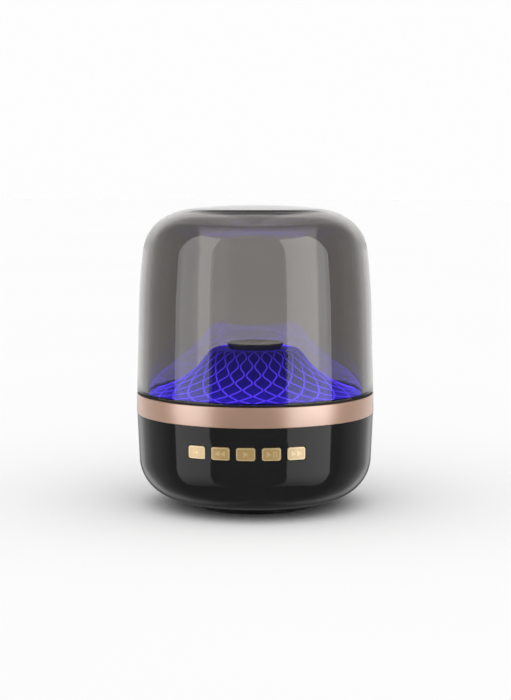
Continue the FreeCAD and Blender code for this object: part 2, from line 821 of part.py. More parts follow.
def make_driver_spider():
    """A corrugated disc that rises at its edge to the underside of the basket."""
    steps = SPIDER_WAVES * 4
    lip = SPIDER_RADIUS - 1.0
    lower = []
    for step in range(steps + 1):
        share = step / steps
        radius = SPIDER_INNER + share * (lip - SPIDER_INNER)
        wave = SPIDER_WAVE * math.sin(share * SPIDER_WAVES * 2 * math.pi)
        rise = share * (BASKET_DISC_BOTTOM - SPIDER_THICK - SPIDER_Z)
        lower.append((radius, SPIDER_Z + rise + wave * (1 - share * share)))
    lower.append((SPIDER_RADIUS, BASKET_DISC_BOTTOM - SPIDER_THICK))
    upper = [(radius, height + SPIDER_THICK) for radius, height in reversed(lower)]
    return turned(lower + upper)


def make_driver_top_plate():
    return tube(PLATE_HOLE, PLATE_RADIUS, BASKET_DISC_TOP, PLATE_TOP)


def make_driver_magnet():
    return tube(MAGNET_INNER, MAGNET_RADIUS, PLATE_TOP, MAGNET_TOP)


def make_driver_yoke():
    outline = [
        (0, BASKET_DISC_TOP),
        (POLE_RADIUS, BASKET_DISC_TOP),
        (POLE_RADIUS, MAGNET_TOP),
        (PLATE_RADIUS, MAGNET_TOP),
        (PLATE_RADIUS, YOKE_TOP - FOOT_EDGE),
        (PLATE_RADIUS - FOOT_EDGE, YOKE_TOP),
        (0, YOKE_TOP),
    ]
    return turned(outline)


def make_driver_tag_board():
    top = BASKET_DISC_TOP + TAG_THICK
    return block(-TAG_HALF, TAG_HALF, PLATE_RADIUS + 0.1, TAG_OUT, BASKET_DISC_TOP, top)


def make_driver_terminals():
    bottom = BASKET_DISC_TOP + TAG_THICK
    lugs = []
    for side in (1, -1):
        x = side * LUG_X
        lug = block(x - LUG_HALF, x + LUG_HALF, PLATE_RADIUS + 0.4, TAG_OUT, bottom, bottom + LUG_THICK)
        lugs.append(lug.cut(disc(LUG_HALF / 2, bottom, bottom + LUG_THICK, x, TAG_OUT - LUG_HALF)))
    return group(lugs)


# The battery


def make_battery_cell():
    cell = block(
        -BATTERY_HALF_X, BATTERY_HALF_X, -BATTERY_HALF_Y, BATTERY_HALF_Y, BATTERY_BOTTOM, BATTERY_TOP
    )
    along = [edge for edge in cell.Edges if abs(edge.tangentAt(edge.FirstParameter).x) > 0.9]
    return cell.makeFillet(BATTERY_EDGE, along)


def make_battery_guard_board():
    near = BATTERY_HALF_X
    return block(near, near + GUARD_THICK, -GUARD_HALF, GUARD_HALF, BATTERY_BOTTOM + 1, BATTERY_TOP - 1)


def make_battery_pad():
    return block(-PAD_HALF_X, PAD_HALF_X, -PAD_HALF_Y, PAD_HALF_Y, BATTERY_TOP, DECK_BOTTOM)


# The main board and what stands on it


def make_main_board():
    outline = disc(BOARD_RADIUS, BOARD_BOTTOM, BOARD_TOP)
    keep = block(-BOARD_RADIUS, BOARD_RADIUS, BOARD_FRONT, BOARD_RADIUS + 1, BOARD_BOTTOM, BOARD_TOP)
    holes = [
        disc(BOARD_HOLE, BOARD_BOTTOM, BOARD_TOP, side * BOARD_POST_X, BOARD_POST_Y) for side in (1, -1)
    ]
    return outline.common(keep).cut(holes)


def on_board(x, y, width, depth, height):
    half, deep = width / 2, depth / 2
    return block(x - half, x + half, y - deep, y + deep, BOARD_TOP, BOARD_TOP + height)


def make_bluetooth_chip():
    return on_board(*BT_CHIP)


def make_amplifier_chip():
    return on_board(*AMP_CHIP)


def make_power_inductor():
    x, y, width, depth, height = INDUCTOR
    body = on_board(*INDUCTOR)
    upright = [edge for edge in body.Edges if abs(edge.tangentAt(edge.FirstParameter).z) > 0.9]
    return body.makeFillet(width / 5, upright)


def make_crystal_can():
    return on_board(*CRYSTAL)


def make_board_capacitors():
    cans = []
    for x, y in CAPACITORS:
        can = disc(CAPACITOR_RADIUS, BOARD_TOP + 1, BOARD_TOP + CAPACITOR_HEIGHT, x, y)
        foot = on_board(x, y, 2 * CAPACITOR_RADIUS, 2 * CAPACITOR_RADIUS, 1.0)
        cans.append(can.fuse(foot))
    return group(cans)


def make_lead_sockets():
    sockets = []
    for x, y in SOCKETS:
        shell = on_board(x, y, SOCKET_WIDTH, SOCKET_DEPTH, SOCKET_HEIGHT)
        well = on_board(x, y, SOCKET_WIDTH - 1.2, SOCKET_DEPTH - 1.2, SOCKET_HEIGHT)
        well.translate(at(0, 0, 0.8))
        sockets.append(shell.cut(well))
    return group(sockets)


def make_usb_c_shell():
    middle = usb_middle()
    back = USB_MOUTH - USB_DEPTH
    corner = USB_HEIGHT / 2 - 0.01
    outer = rounded_bar(0, middle, USB_WIDTH, USB_HEIGHT, corner, back, USB_MOUTH)
    wide, tall = USB_WIDTH - 2 * USB_WALL, USB_HEIGHT - 2 * USB_WALL
    inner = rounded_bar(0, middle, wide, tall, corner - USB_WALL, back + USB_TONGUE_BACK, USB_MOUTH)
    return outer.cut(inner)


def make_usb_c_tongue():
    middle = usb_middle()
    root = USB_MOUTH - USB_DEPTH + USB_TONGUE_BACK
    tip = USB_MOUTH - USB_TONGUE_SET_BACK
    half, thin = USB_TONGUE_WIDTH / 2, USB_TONGUE_THICK / 2
    return block(-half, half, root, tip, middle - thin, middle + thin)


def make_power_switch():
    """The switch's can, with a window that its lever slides in."""
    half = SWITCH_BODY_WIDTH / 2
    top = BOARD_TOP + SWITCH_BODY_HEIGHT
    body = block(SWITCH_X - half, SWITCH_X + half, SWITCH_BODY_BACK, SWITCH_BODY_MOUTH, BOARD_TOP, top)
    wide = SWITCH_LEVER + SWITCH_TRAVEL + 2 * SWITCH_PLAY
    tall = SWITCH_LEVER + 2 * SWITCH_PLAY
    deep = SWITCH_LEVER_START - SWITCH_PLAY
    window = block(
        SWITCH_X - wide / 2,
        SWITCH_X + wide / 2,
        deep,
        SWITCH_BODY_MOUTH,
        switch_middle() - tall / 2,
        switch_middle() + tall / 2,
    )
    return body.cut(window)


def make_switch_knob():
    """The lever at the on end of its travel."""
    x = SWITCH_X - SWITCH_TRAVEL / 2
    knob = rounded_bar(
        x, switch_middle(), SWITCH_LEVER, SWITCH_LEVER, 0.25, SWITCH_LEVER_START, SWITCH_LEVER_END
    )
    end = [edge for edge in knob.Edges if edge.BoundBox.YMin > SWITCH_LEVER_END - 0.01]
    return knob.makeFillet(0.3, end)


# The keys


def key_angle(number):
    return (number - (KEY_COUNT - 1) / 2) * KEY_PITCH


def key_place(number):
    """Where a key stands across the front, and how wide it looks from straight in front."""
    angle = math.radians(key_angle(number))
    return KEY_CIRCLE * math.sin(angle), KEY_WIDTH * math.cos(angle)


def prism(points):
    """Points (across, up) drawn on the front, as a bar along Y."""
    corners = [at(x, -RING_RADIUS - 2, z) for x, z in points]
    face = Part.Face(Part.makePolygon(corners + corners[:1]))
    return face.extrude(at(0, RING_RADIUS / 2, 0))


def arrow(tip, direction):
    """A triangle whose tip is at tip and which points right (1) or left (-1)."""
    back = tip - direction * SYMBOL_HEIGHT * 0.75
    half = SYMBOL_HEIGHT / 2
    return prism([(tip, KEY_Z), (back, KEY_Z + half), (back, KEY_Z - half)])


def upright_bar(x):
    half, tall = SYMBOL_BAR / 2, SYMBOL_HEIGHT / 2
    return prism(
        [(x - half, KEY_Z - tall), (x + half, KEY_Z - tall), (x + half, KEY_Z + tall), (x - half, KEY_Z + tall)]
    )


def lamp_symbol(x):
    """A round spot with short rays, for the light."""
    spot = Part.makeCylinder(SYMBOL_BAR * 1.3, RING_RADIUS / 2, at(x, -RING_RADIUS - 2, KEY_Z), at(0, 1, 0))
    rays = []
    for step in range(8):
        angle = math.pi / 4 * step
        along, across = (math.cos(angle), math.sin(angle)), (-math.sin(angle), math.cos(angle))
        corners = [(2.0, -0.3), (3.1, -0.3), (3.1, 0.3), (2.0, 0.3)]
        points = [
            (
                x + SYMBOL_BAR * (far * along[0] + side * across[0]),
                KEY_Z + SYMBOL_BAR * (far * along[1] + side * across[1]),
            )
            for far, side in corners
        ]
        rays.append(prism(points))
    return [spot] + rays


def key_symbol(number):
    """Light, back, start, start or pause, and forward, from left to right."""
    x = key_place(number)[0]
    step = SYMBOL_HEIGHT * 0.75
    gap = SYMBOL_SPACE
    symbols = (
        lamp_symbol(x),
        [arrow(x - step - gap, -1), arrow(x, -1)],
        [arrow(x + step / 2, 1)],
        [arrow(x, 1), upright_bar(x + step / 2), upright_bar(x + step)],
        [arrow(x, 1), arrow(x + step + gap, 1)],
    )
    return symbols[number]


def on_front(edge, inset):
    """Whether an edge lies on the base's side moved in by inset."""
    for share in (0.0, 0.5, 1.0):
        point = edge.valueAt(edge.FirstParameter + share * (edge.LastParameter - edge.FirstParameter))
        if abs(math.hypot(point.x, point.y) - side_radius(point.z) + inset) > 0.01:
            return False
    return True


def make_key_cap(number):
    """A gold key: a rimmed front that follows the base, a lip that keeps it in, and a stem to its switch."""
    x, width = key_place(number)
    front, back = -RING_RADIUS - 2, TACT_FRONT
    bar = rounded_bar(x, KEY_Z, width, KEY_HEIGHT, KEY_CORNER, front, back)
    head = bar.common(band(-KEY_PROUD, WALL + KEY_LIP_GAP + KEY_LIP_THICK / 2))
    head = head.makeFillet(KEY_EDGE, [edge for edge in head.Edges if on_front(edge, -KEY_PROUD)])
    well = rounded_bar(
        x, KEY_Z, width - 2 * KEY_RIM, KEY_HEIGHT - 2 * KEY_RIM, KEY_CORNER - 0.35, front, back
    )
    floor = KEY_RECESS - KEY_PROUD
    head = head.cut(well.common(band(-KEY_PROUD - 0.1, floor)))
    raised = band(floor - SYMBOL_RAISE, floor + SYMBOL_RAISE)
    symbols = [piece.common(raised) for piece in key_symbol(number)]
    lip = rounded_bar(
        x, KEY_Z, width + 2 * KEY_LIP, KEY_HEIGHT + 2 * KEY_LIP, KEY_CORNER, front, back
    ).common(band(WALL + KEY_LIP_GAP, WALL + KEY_LIP_GAP + KEY_LIP_THICK))
    reach = side_radius(KEY_Z) - WALL - KEY_LIP_GAP - KEY_LIP_THICK / 2
    start = -math.sqrt(reach * reach - x * x)
    end = TACT_FRONT - TACT_BUTTON_OUT
    stem = Part.makeCylinder(KEY_STEM_RADIUS, end - start, at(x, start, KEY_Z), at(0, 1, 0))
    return head.fuse(symbols + [lip, stem])


def make_tact_button(number):
    x = key_place(number)[0]
    start = TACT_FRONT - TACT_BUTTON_OUT
    length = TACT_BUTTON_OUT + TACT_BUTTON_IN
    return Part.makeCylinder(TACT_BUTTON_RADIUS, length, at(x, start, KEY_Z), at(0, 1, 0))


def make_tact_switches():
    switches = []
    half = TACT_SIZE / 2
    for number in range(KEY_COUNT):
        x = key_place(number)[0]
        low, high = KEY_Z - half, KEY_Z + half
        body = block(x - half, x + half, TACT_FRONT, TACT_FRONT + TACT_THICK, low, high)
        bore = Part.makeCylinder(TACT_BORE_RADIUS, TACT_BORE_DEPTH, at(x, TACT_FRONT, KEY_Z), at(0, 1, 0))
        switches.append(body.cut(bore))
    return group(switches)


def make_key_board():
    back = TACT_FRONT + TACT_THICK
    thick = back + KEY_BOARD_THICK
    return block(-KEY_BOARD_HALF, KEY_BOARD_HALF, back, thick, KEY_BOARD_BOTTOM, KEY_BOARD_TOP)


# The leads


def lead(points):
    """One insulated wire along a smooth curve through points."""
    curve = Part.BSplineCurve()
    curve.interpolate([at(*point) for point in points])
    spine = Part.Wire([curve.toShape()])
    start = curve.value(curve.FirstParameter)
    direction = curve.tangent(curve.FirstParameter)[0]
    section = Part.Wire([Part.Circle(start, direction, LEAD_RADIUS).toShape()])
    return spine.makePipeShell([section], True, True)


def pair(points, dx, dy):
    """Two leads side by side, set apart by (dx, dy)."""
    strands = []
    for side in (-0.5, 0.5):
        strands.append(lead([(x + side * dx, y + side * dy, z) for x, y, z in points]))
    return group(strands)


def socket_end(number):
    """Points straight down into a lead socket."""
    x, y = SOCKETS[number]
    return [(x, y, BOARD_TOP + rise) for rise in (5.4, 3.2, 1.0)]


def make_battery_leads():
    start = (BATTERY_HALF_X + GUARD_THICK + LEAD_RADIUS, 6.0, BATTERY_BOTTOM + 2.5)
    middle = [(26.6, 9.0, 31.0), (25.6, 14.0, 28.8), (26.2, 18.6, 28.2)]
    return pair([start] + middle + socket_end(0), 0.0, LEAD_SPACING)


def make_key_leads():
    back = TACT_FRONT + TACT_THICK + KEY_BOARD_THICK
    start = (-18.0, back + LEAD_RADIUS, 27.0)
    middle = [(-22.5, -22.5, 27.4), (-26.0, -12.0, 27.6), (-26.3, 4.0, 27.6), (-26.2, 17.0, 27.8)]
    return pair([start] + middle + socket_end(1), LEAD_SPACING, 0.0)


def make_led_leads():
    top = DECK_TOP + LED_BOARD_THICK + LEAD_RADIUS
    middle = [(0.0, LED_BOARD_RADIUS - 1.5, top), (0.0, 34.6, DECK_TOP), (0.0, LEAD_HOLE_Y, DECK_BOTTOM)]
    return pair(middle + [(6.0, 27.5, 30.0)] + socket_end(2), LEAD_SPACING, 0.0)


def make_speaker_leads():
    top = BASKET_DISC_TOP + TAG_THICK + LUG_THICK
    strands = []
    for side in (-1, 1):
        x, y = side * LUG_X, TAG_OUT - 1.5
        over = [(x, y, top), (x, y, top + 2.5), (x - 0.8, 18.0, top + 7.0)]
        strands.append(lead(over + [(px + side * LEAD_SPACING / 2, py, pz) for px, py, pz in socket_end(3)]))
    return group(strands)


def save(name, shape):
    shape.exportStep("parts/" + name + ".step")


def main():
    os.makedirs("parts", exist_ok=True)
    save("foot_pad", make_foot_pad())
    save("base_shell", make_base_shell())
    save("trim_ring", make_trim_ring())
    save("deck_frame", make_deck_frame())
    save("dome_seal", make_dome_seal())
    save("dome_cover", make_dome_cover())
    save("light_cone", make_light_cone())
    save("cone_cap", make_cone_cap())
    save("led_board", make_led_board())
    save("leds", make_leds())
    save("case_screws", make_case_screws())
    save("baffle_plate", make_baffle_plate())
    save("baffle_screws", make_baffle_screws())
    save("driver_gasket", make_driver_gasket())
    save("driver_basket", make_driver_basket())
    save("driver_surround", make_driver_surround())
    save("driver_diaphragm", make_driver_diaphragm())
    save("driver_dust_cap", make_driver_dust_cap())
    save("driver_spider", make_driver_spider())
    save("driver_top_plate", make_driver_top_plate())
    save("driver_magnet", make_driver_magnet())
    save("driver_yoke", make_driver_yoke())
    save("driver_tag_board", make_driver_tag_board())
    save("driver_terminals", make_driver_terminals())
    save("driver_screws", make_driver_screws())
    save("voice_coil_former", make_voice_coil_former())
    save("voice_coil", make_voice_coil())
    save("battery_cell", make_battery_cell())
    save("battery_guard_board", make_battery_guard_board())
    save("battery_pad", make_battery_pad())
    save("main_board", make_main_board())
    save("bluetooth_chip", make_bluetooth_chip())
    save("amplifier_chip", make_amplifier_chip())
    save("power_inductor", make_power_inductor())
    save("crystal_can", make_crystal_can())
    save("board_capacitors", make_board_capacitors())
    save("lead_sockets", make_lead_sockets())
    save("board_screws", make_board_screws())
    save("usb_c_shell", make_usb_c_shell())
    save("usb_c_tongue", make_usb_c_tongue())
    save("power_switch", make_power_switch())
    save("switch_knob", make_switch_knob())
    save("key_board", make_key_board())
    save("tact_switches", make_tact_switches())
    for number in range(KEY_COUNT):
        save("key_cap_%d" % (number + 1), make_key_cap(number))
        save("tact_button_%d" % (number + 1), make_tact_button(number))
    save("battery_leads", make_battery_leads())
    save("speaker_leads", make_speaker_leads())
    save("led_leads", make_led_leads())
    save("key_leads", make_key_leads())


main()
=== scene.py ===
import math

import bpy
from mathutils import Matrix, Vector


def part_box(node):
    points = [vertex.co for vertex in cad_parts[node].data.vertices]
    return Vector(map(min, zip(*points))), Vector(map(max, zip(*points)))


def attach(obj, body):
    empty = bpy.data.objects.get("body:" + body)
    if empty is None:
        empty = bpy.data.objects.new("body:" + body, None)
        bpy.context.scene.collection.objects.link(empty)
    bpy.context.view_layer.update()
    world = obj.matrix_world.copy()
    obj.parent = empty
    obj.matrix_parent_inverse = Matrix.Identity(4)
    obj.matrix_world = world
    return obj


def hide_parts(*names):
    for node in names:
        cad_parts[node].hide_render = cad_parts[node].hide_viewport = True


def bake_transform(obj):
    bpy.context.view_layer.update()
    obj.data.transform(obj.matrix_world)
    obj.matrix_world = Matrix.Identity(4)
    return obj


# The visual model of a small wireless speaker with a light display. Metres, in the CAD model's
# frame: +Z up, the keys face -Y, the body's axis is x = y = 0.

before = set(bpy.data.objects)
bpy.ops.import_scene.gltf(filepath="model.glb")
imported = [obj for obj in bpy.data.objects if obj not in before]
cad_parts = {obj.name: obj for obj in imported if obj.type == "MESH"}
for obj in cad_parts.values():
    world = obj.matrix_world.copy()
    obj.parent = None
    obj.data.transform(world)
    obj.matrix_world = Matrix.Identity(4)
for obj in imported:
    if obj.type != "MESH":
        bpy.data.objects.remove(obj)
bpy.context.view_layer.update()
MM = 0.001

# ---------------------------------------------------------------- camera

AIM_HEIGHT = 56.06 * MM
CAMERA_DISTANCE = 600.3 * MM
CAMERA_AZIMUTH = math.radians(4.37)
CAMERA_ELEVATION = math.radians(6.24)
CAMERA_LENS = 85.0
CAMERA_SENSOR = 36.0
CAMERA_SHIFT = 0.0004
NEAREST = 0.01
FARTHEST = 50.0


def make_camera():
    """A long lens a little above the object and to its right, aimed at its middle."""
    data = bpy.data.cameras.new("camera")
    data.lens = CAMERA_LENS
    data.sensor_width = CAMERA_SENSOR
    data.shift_x = CAMERA_SHIFT
    data.clip_start = NEAREST
    data.clip_end = FARTHEST
    camera = bpy.data.objects.new("camera", data)
    bpy.context.scene.collection.objects.link(camera)
    level = math.cos(CAMERA_ELEVATION)
    across = math.sin(CAMERA_AZIMUTH) * level
    nearer = -math.cos(CAMERA_AZIMUTH) * level
    back = Vector((across, nearer, math.sin(CAMERA_ELEVATION)))
    camera.location = Vector((0, 0, AIM_HEIGHT)) + back * CAMERA_DISTANCE
    camera.rotation_mode = "QUATERNION"
    camera.rotation_quaternion = (-back).to_track_quat("-Z", "Y")
    bpy.context.scene.camera = camera


make_camera()
bpy.context.scene.view_settings.view_transform = "Standard"

# ---------------------------------------------------------------- material kit

# Noise hardly ever leaves this band, so it is stretched from here to the full range.
NOISE_LOW = 0.3
NOISE_HIGH = 0.7


class Look:
    """A node material under construction."""

    def __init__(self, name):
        self.material = bpy.data.materials.new(name)
        self.material.use_nodes = True
        self.tree = self.material.node_tree
        self.shader = self.tree.nodes["Principled BSDF"]
        self.place = self.node("ShaderNodeTexCoord").outputs["Object"]

    def node(self, kind, **inputs):
        """A new node with constants on its sockets; an underscore stands for a space in a name."""
        made = self.tree.nodes.new(kind)
        for key, value in inputs.items():
            made.inputs[key.replace("_", " ")].default_value = value
        return made

    def link(self, source, target):
        self.tree.links.new(source, target)

    def set(self, **inputs):
        """The same for the surface shader."""
        for key, value in inputs.items():
            self.shader.inputs[key.replace("_", " ")].default_value = value
        return self

    def stretched(self, x, y, z):
        """Object coordinates scaled along each axis; marks come out long where it is small."""
        mapping = self.node("ShaderNodeMapping", Scale=(x, y, z))
        self.link(self.place, mapping.inputs["Vector"])
        return mapping.outputs["Vector"]

    def noise(self, scale, detail=3.0, where=None):
        """Soft noise from about 0.3 to 0.7; scale is in cells per metre."""
        made = self.node("ShaderNodeTexNoise", Scale=scale, Detail=detail)
        self.link(where or self.place, made.inputs["Vector"])
        return made.outputs["Fac"]

    def remap(self, source, low, high, start=NOISE_LOW, stop=NOISE_HIGH):
        """source, stretched so that start becomes low and stop becomes high."""
        made = self.tree.nodes.new("ShaderNodeMapRange")
        limits = {"From Min": start, "From Max": stop, "To Min": low, "To Max": high}
        for key, value in limits.items():
            made.inputs[key].default_value = value
        self.link(source, made.inputs["Value"])
        return made.outputs["Result"]

    def blend(self, factor, first, second):
        """A colour between first and second; each is a colour or a socket."""
        made = self.tree.nodes.new("ShaderNodeMix")
        made.data_type = "RGBA"
        self.link(factor, made.inputs["Factor"])
        for socket, value in ((made.inputs["A"], first), (made.inputs["B"], second)):
            if isinstance(value, bpy.types.NodeSocket):
                self.link(value, socket)
            else:
                socket.default_value = (*value, 1.0)
        return made.outputs["Result"]

    def curve(self, source, stops):
        """Colours laid out along a number from 0 to 1."""
        made = self.tree.nodes.new("ShaderNodeValToRGB")
        elements = made.color_ramp.elements
        while len(elements) < len(stops):
            elements.new(0.5)
        for element, (position, colour) in zip(elements, stops):
            element.position = position
            element.color = (*colour, 1.0)
        self.link(source, made.inputs["Fac"])
        return made.outputs["Color"]

    def bump(self, source, strength, distance=0.1 * MM):
        """Fine relief on the surface; distance is its full height."""
        made = self.node("ShaderNodeBump", Strength=strength, Distance=distance)
        self.link(source, made.inputs["Height"])
        self.link(made.outputs["Normal"], self.shader.inputs["Normal"])


def shade(colour, by):
    """colour times by, no brighter than 1."""
    return tuple(min(channel * by, 1.0) for channel in colour)


PATCHES = 300.0
VARY = 0.12
GRAIN = 2500.0
GRAIN_STRENGTH = 0.05
SPREAD = 0.25
PATCH_RATIO = 2.3
POLISH_DETAIL = 5.0
GRAIN_DETAIL = 4.0


def plain(name, colour, rough, metal=0.0, patches=PATCHES, vary=VARY, grain=GRAIN,
          grain_strength=GRAIN_STRENGTH):
    """Moulded, painted or machined stock: patches of colour, uneven polish and a fine grain."""
    look = Look(name)
    patch = look.remap(look.noise(patches), 0.0, 1.0)
    colours = look.blend(patch, shade(colour, 1 - vary), shade(colour, 1 + vary))
    look.link(colours, look.shader.inputs["Base Color"])
    polish = look.noise(patches * PATCH_RATIO, POLISH_DETAIL)
    uneven = look.remap(polish, rough * (1 - SPREAD), rough * (1 + SPREAD))
    look.link(uneven, look.shader.inputs["Roughness"])
    look.bump(look.noise(grain, GRAIN_DETAIL), grain_strength)
    return look.set(Metallic=metal)


# ---------------------------------------------------------------- materials

# The base's side leans out: its radius is SIDE_START plus SIDE_SLOPE times the height. A key's
# ground and its raised parts stand proud of that side by about KEY_GROUND and KEY_FACE.
SIDE_START = 41.402 * MM
SIDE_SLOPE = 0.04427
KEY_GROUND = 0.215 * MM
KEY_FACE = 0.255 * MM
# The glow passes from its front level to its back level between these two places along Y; its
# dimmer patches have this share of it.
GLOW_FRONT = 3 * MM
GLOW_BACK = 13 * MM
GLOW_PATCHY = 0.82


def smoked_acrylic():
    """Clear plastic with a smoke-grey tint."""
    look = Look("smoked_acrylic")
    look.set(Transmission_Weight=1.0, IOR=1.6, Roughness=0.0)
    patch = look.remap(look.noise(60.0), 0.0, 1.0)
    tint = look.blend(patch, (0.473, 0.456, 0.441), (0.485, 0.468, 0.453))
    look.link(tint, look.shader.inputs["Base Color"])
    look.bump(look.noise(90.0, 2.0), 0.02, 0.02 * MM)
    return look.material


def rose_gold():
    """Bead-blasted and anodised aluminium: an even satin with a fine sparkle and hairlines."""
    look = Look("rose_gold")
    patch = look.remap(look.noise(120.0), 0.0, 1.0)
    colours = look.blend(patch, (0.80, 0.445, 0.285), (0.85, 0.475, 0.31))
    look.link(colours, look.shader.inputs["Base Color"])
    around = look.stretched(1.0, 1.0, 14.0)
    uneven = look.remap(look.noise(500.0, 6.0, around), 0.38, 0.46)
    look.link(uneven, look.shader.inputs["Roughness"])
    look.bump(look.noise(6000.0, 2.0), 0.06, 0.02 * MM)
    return look.set(Metallic=0.5, Coat_Weight=1.0, Coat_IOR=3.3, Coat_Roughness=0.28).material


def gloss_black():
    """Polished black plastic with faint swirl marks and dust-fine dimples."""
    look = Look("gloss_black")
    patch = look.remap(look.noise(80.0), 0.0, 1.0)
    colours = look.blend(patch, (0.0105, 0.0105, 0.0112), (0.0132, 0.0132, 0.0138))
    look.link(colours, look.shader.inputs["Base Color"])
    swirl = look.noise(700.0, 8.0, look.stretched(1.0, 1.0, 6.0))
    look.link(look.remap(swirl, 0.035, 0.075), look.shader.inputs["Roughness"])
    look.bump(look.noise(140.0, 2.0), 0.015, 0.02 * MM)
    return look.set(IOR=1.5, Specular_IOR_Level=0.5).material


def key_gold():
    """Satin gold plating; the rim and the symbol stand proud and are paler: partly a brighter
    polish, partly a painted highlight for the light their edges catch.
    """
    look = Look("key_gold")
    flat_place = look.tree.nodes.new("ShaderNodeVectorMath")
    flat_place.operation = "LENGTH"
    look.link(look.stretched(1.0, 1.0, 0.0), flat_place.inputs[0])
    height = look.node("ShaderNodeSeparateXYZ")
    look.link(look.place, height.inputs["Vector"])
    side = look.tree.nodes.new("ShaderNodeMath")
    side.operation = "MULTIPLY_ADD"
    side.inputs[1].default_value = -SIDE_SLOPE
    look.link(height.outputs["Z"], side.inputs[0])
    look.link(flat_place.outputs["Value"], side.inputs[2])
    ground_at, face_at = SIDE_START + KEY_GROUND, SIDE_START + KEY_FACE
    raised = look.remap(side.outputs["Value"], 0.0, 1.0, ground_at, face_at)
    patch = look.remap(look.noise(700.0, 4.0), 0.0, 1.0)
    ground = look.blend(patch, (0.82, 0.50, 0.13), (0.90, 0.56, 0.16))
    # The raised parts' paler colour is partly their brighter polish and partly a painted highlight
    # for the light that catches their edges.
    polished_and_highlit = look.blend(patch, (0.97, 0.72, 0.30), (1.0, 0.78, 0.36))
    look.link(look.blend(raised, ground, polished_and_highlit), look.shader.inputs["Base Color"])
    brushed = look.noise(2600.0, 3.0, look.stretched(1.0, 1.0, 5.0))
    look.link(look.remap(brushed, 0.27, 0.36), look.shader.inputs["Roughness"])
    look.bump(brushed, 0.03, 0.01 * MM)
    return look.set(Metallic=0.4, Coat_Weight=1.0, Coat_IOR=3.0, Coat_Roughness=0.24).material


def glow(name, colour, strength, fading, back):
    """A lit clear-plastic skin, a little patchy.

    fading holds (height above the table, share of the light) stops for its front side, which
    faces the keys; back is the share on its other side.
    """
    look = Look(name)
    place = look.node("ShaderNodeSeparateXYZ")
    look.link(look.place, place.inputs["Vector"])
    low, high = fading[0][0], fading[-1][0]
    fade = look.remap(place.outputs["Z"], 0.0, 1.0, low, high)
    behind = look.remap(place.outputs["Y"], 0.0, 1.0, GLOW_FRONT, GLOW_BACK)
    patch = look.remap(look.noise(260.0, 3.0), 0.0, 1.0)
    tones = []
    for by in (GLOW_PATCHY, 1.0):
        stops = []
        for level, share in fading:
            stops.append(((level - low) / (high - low), shade(colour, share * by)))
        tones.append(look.blend(behind, look.curve(fade, stops), shade(colour, back * by)))
    look.link(look.blend(patch, *tones), look.shader.inputs["Emission Color"])
    base = look.blend(patch, (0.004, 0.003, 0.02), (0.006, 0.005, 0.03))
    look.link(base, look.shader.inputs["Base Color"])
    look.set(Specular_IOR_Level=0.1, Emission_Strength=strength)
    look.link(look.remap(look.noise(500.0), 0.25, 0.4), look.shader.inputs["Roughness"])
    look.bump(look.noise(1400.0, 3.0), 0.05, 0.05 * MM)
    return look.material


def circuit_board(name, mask, trace):
    """Solder mask over copper: fine straight tracks, a little lighter than the ground."""
    look = Look(name)
    tracks = look.node("ShaderNodeTexBrick", Scale=260.0, Mortar_Size=0.06, Bias=-0.3)
    tracks.offset_frequency = 3
    tracks.squash = 0.6
    look.link(look.place, tracks.inputs["Vector"])
    mottled = look.blend(look.remap(look.noise(350.0), 0, 1), shade(mask, 0.85), shade(mask, 1.15))
    colours = look.blend(tracks.outputs["Fac"], mottled, trace)
    look.link(colours, look.shader.inputs["Base Color"])
    look.link(look.remap(look.noise(900.0), 0.25, 0.4), look.shader.inputs["Roughness"])
    look.bump(tracks.outputs["Fac"], 0.2, 0.03 * MM)
    return look.material


def woven(name, colour):
    """Resin-stiffened cloth."""
    look = Look(name)
    weave = look.node("ShaderNodeTexWave", Scale=900.0, Distortion=1.5)
    look.link(look.place, weave.inputs["Vector"])
    colours = look.blend(weave.outputs["Fac"], shade(colour, 0.7), shade(colour, 1.2))
    look.link(colours, look.shader.inputs["Base Color"])
    look.link(look.remap(look.noise(800.0), 0.75, 0.95), look.shader.inputs["Roughness"])
    look.bump(weave.outputs["Fac"], 0.4, 0.05 * MM)
    return look.material


SMOKED = smoked_acrylic()
ROSE_GOLD = rose_gold()
GLOSS_BLACK = gloss_black()
KEY_GOLD = key_gold()
LATTICE_FADE = (
    (41 * MM, 0.42),
    (44 * MM, 0.4),
    (48 * MM, 0.33),
    (51 * MM, 0.26),
    (54.5 * MM, 0.16),
    (57.5 * MM, 0.09),
)
CELL_FADE = ((41 * MM, 0.5), (43.5 * MM, 0.28), (47 * MM, 0.16), (53 * MM, 0.11), (57.5 * MM, 0.06))
LATTICE_GLOW = glow("lattice_glow", (0.088, 0.04, 1.0), 6.3, LATTICE_FADE, 1.0)
CELL_GLOW = glow("cell_glow", (0.03, 0.008, 1.0), 2.4, CELL_FADE, 1.0)
RUBBER = plain("foot_rubber", (0.012,) * 3, 0.75, grain=1800.0, grain_strength=0.25).material
SEAL = plain("seal_foam", (0.01, 0.01, 0.011), 0.6, grain_strength=0.15).material
MATTE_BLACK = plain("frame_black", (0.02, 0.02, 0.022), 0.5, grain_strength=0.15).material
CAP_LOOK = plain("cap_grey", (0.13, 0.13, 0.14), 0.08, patches=120.0, grain_strength=0.02)
CAP = CAP_LOOK.set(Coat_Weight=1.0).material
GREEN_BOARD = circuit_board("green_board", (0.012, 0.10, 0.045), (0.03, 0.2, 0.08))
WHITE_BOARD = circuit_board("white_board", (0.78, 0.78, 0.76), (0.66, 0.66, 0.63))
LED_CASE = plain("led_package", (0.82, 0.78, 0.62), 0.4, patches=900.0).material
CHIP = plain("chip_black", (0.02, 0.02, 0.021), 0.55, grain_strength=0.2).material
STEEL = plain("screw_steel", (0.52, 0.52, 0.53), 0.3, 1.0, patches=800.0).material
SOCKET_STEEL = plain("socket_steel", (0.62, 0.62, 0.63), 0.25, 1.0, patches=500.0).material
PLATE_STEEL = plain("plate_steel", (0.45, 0.45, 0.46), 0.38, 1.0, patches=400.0).material
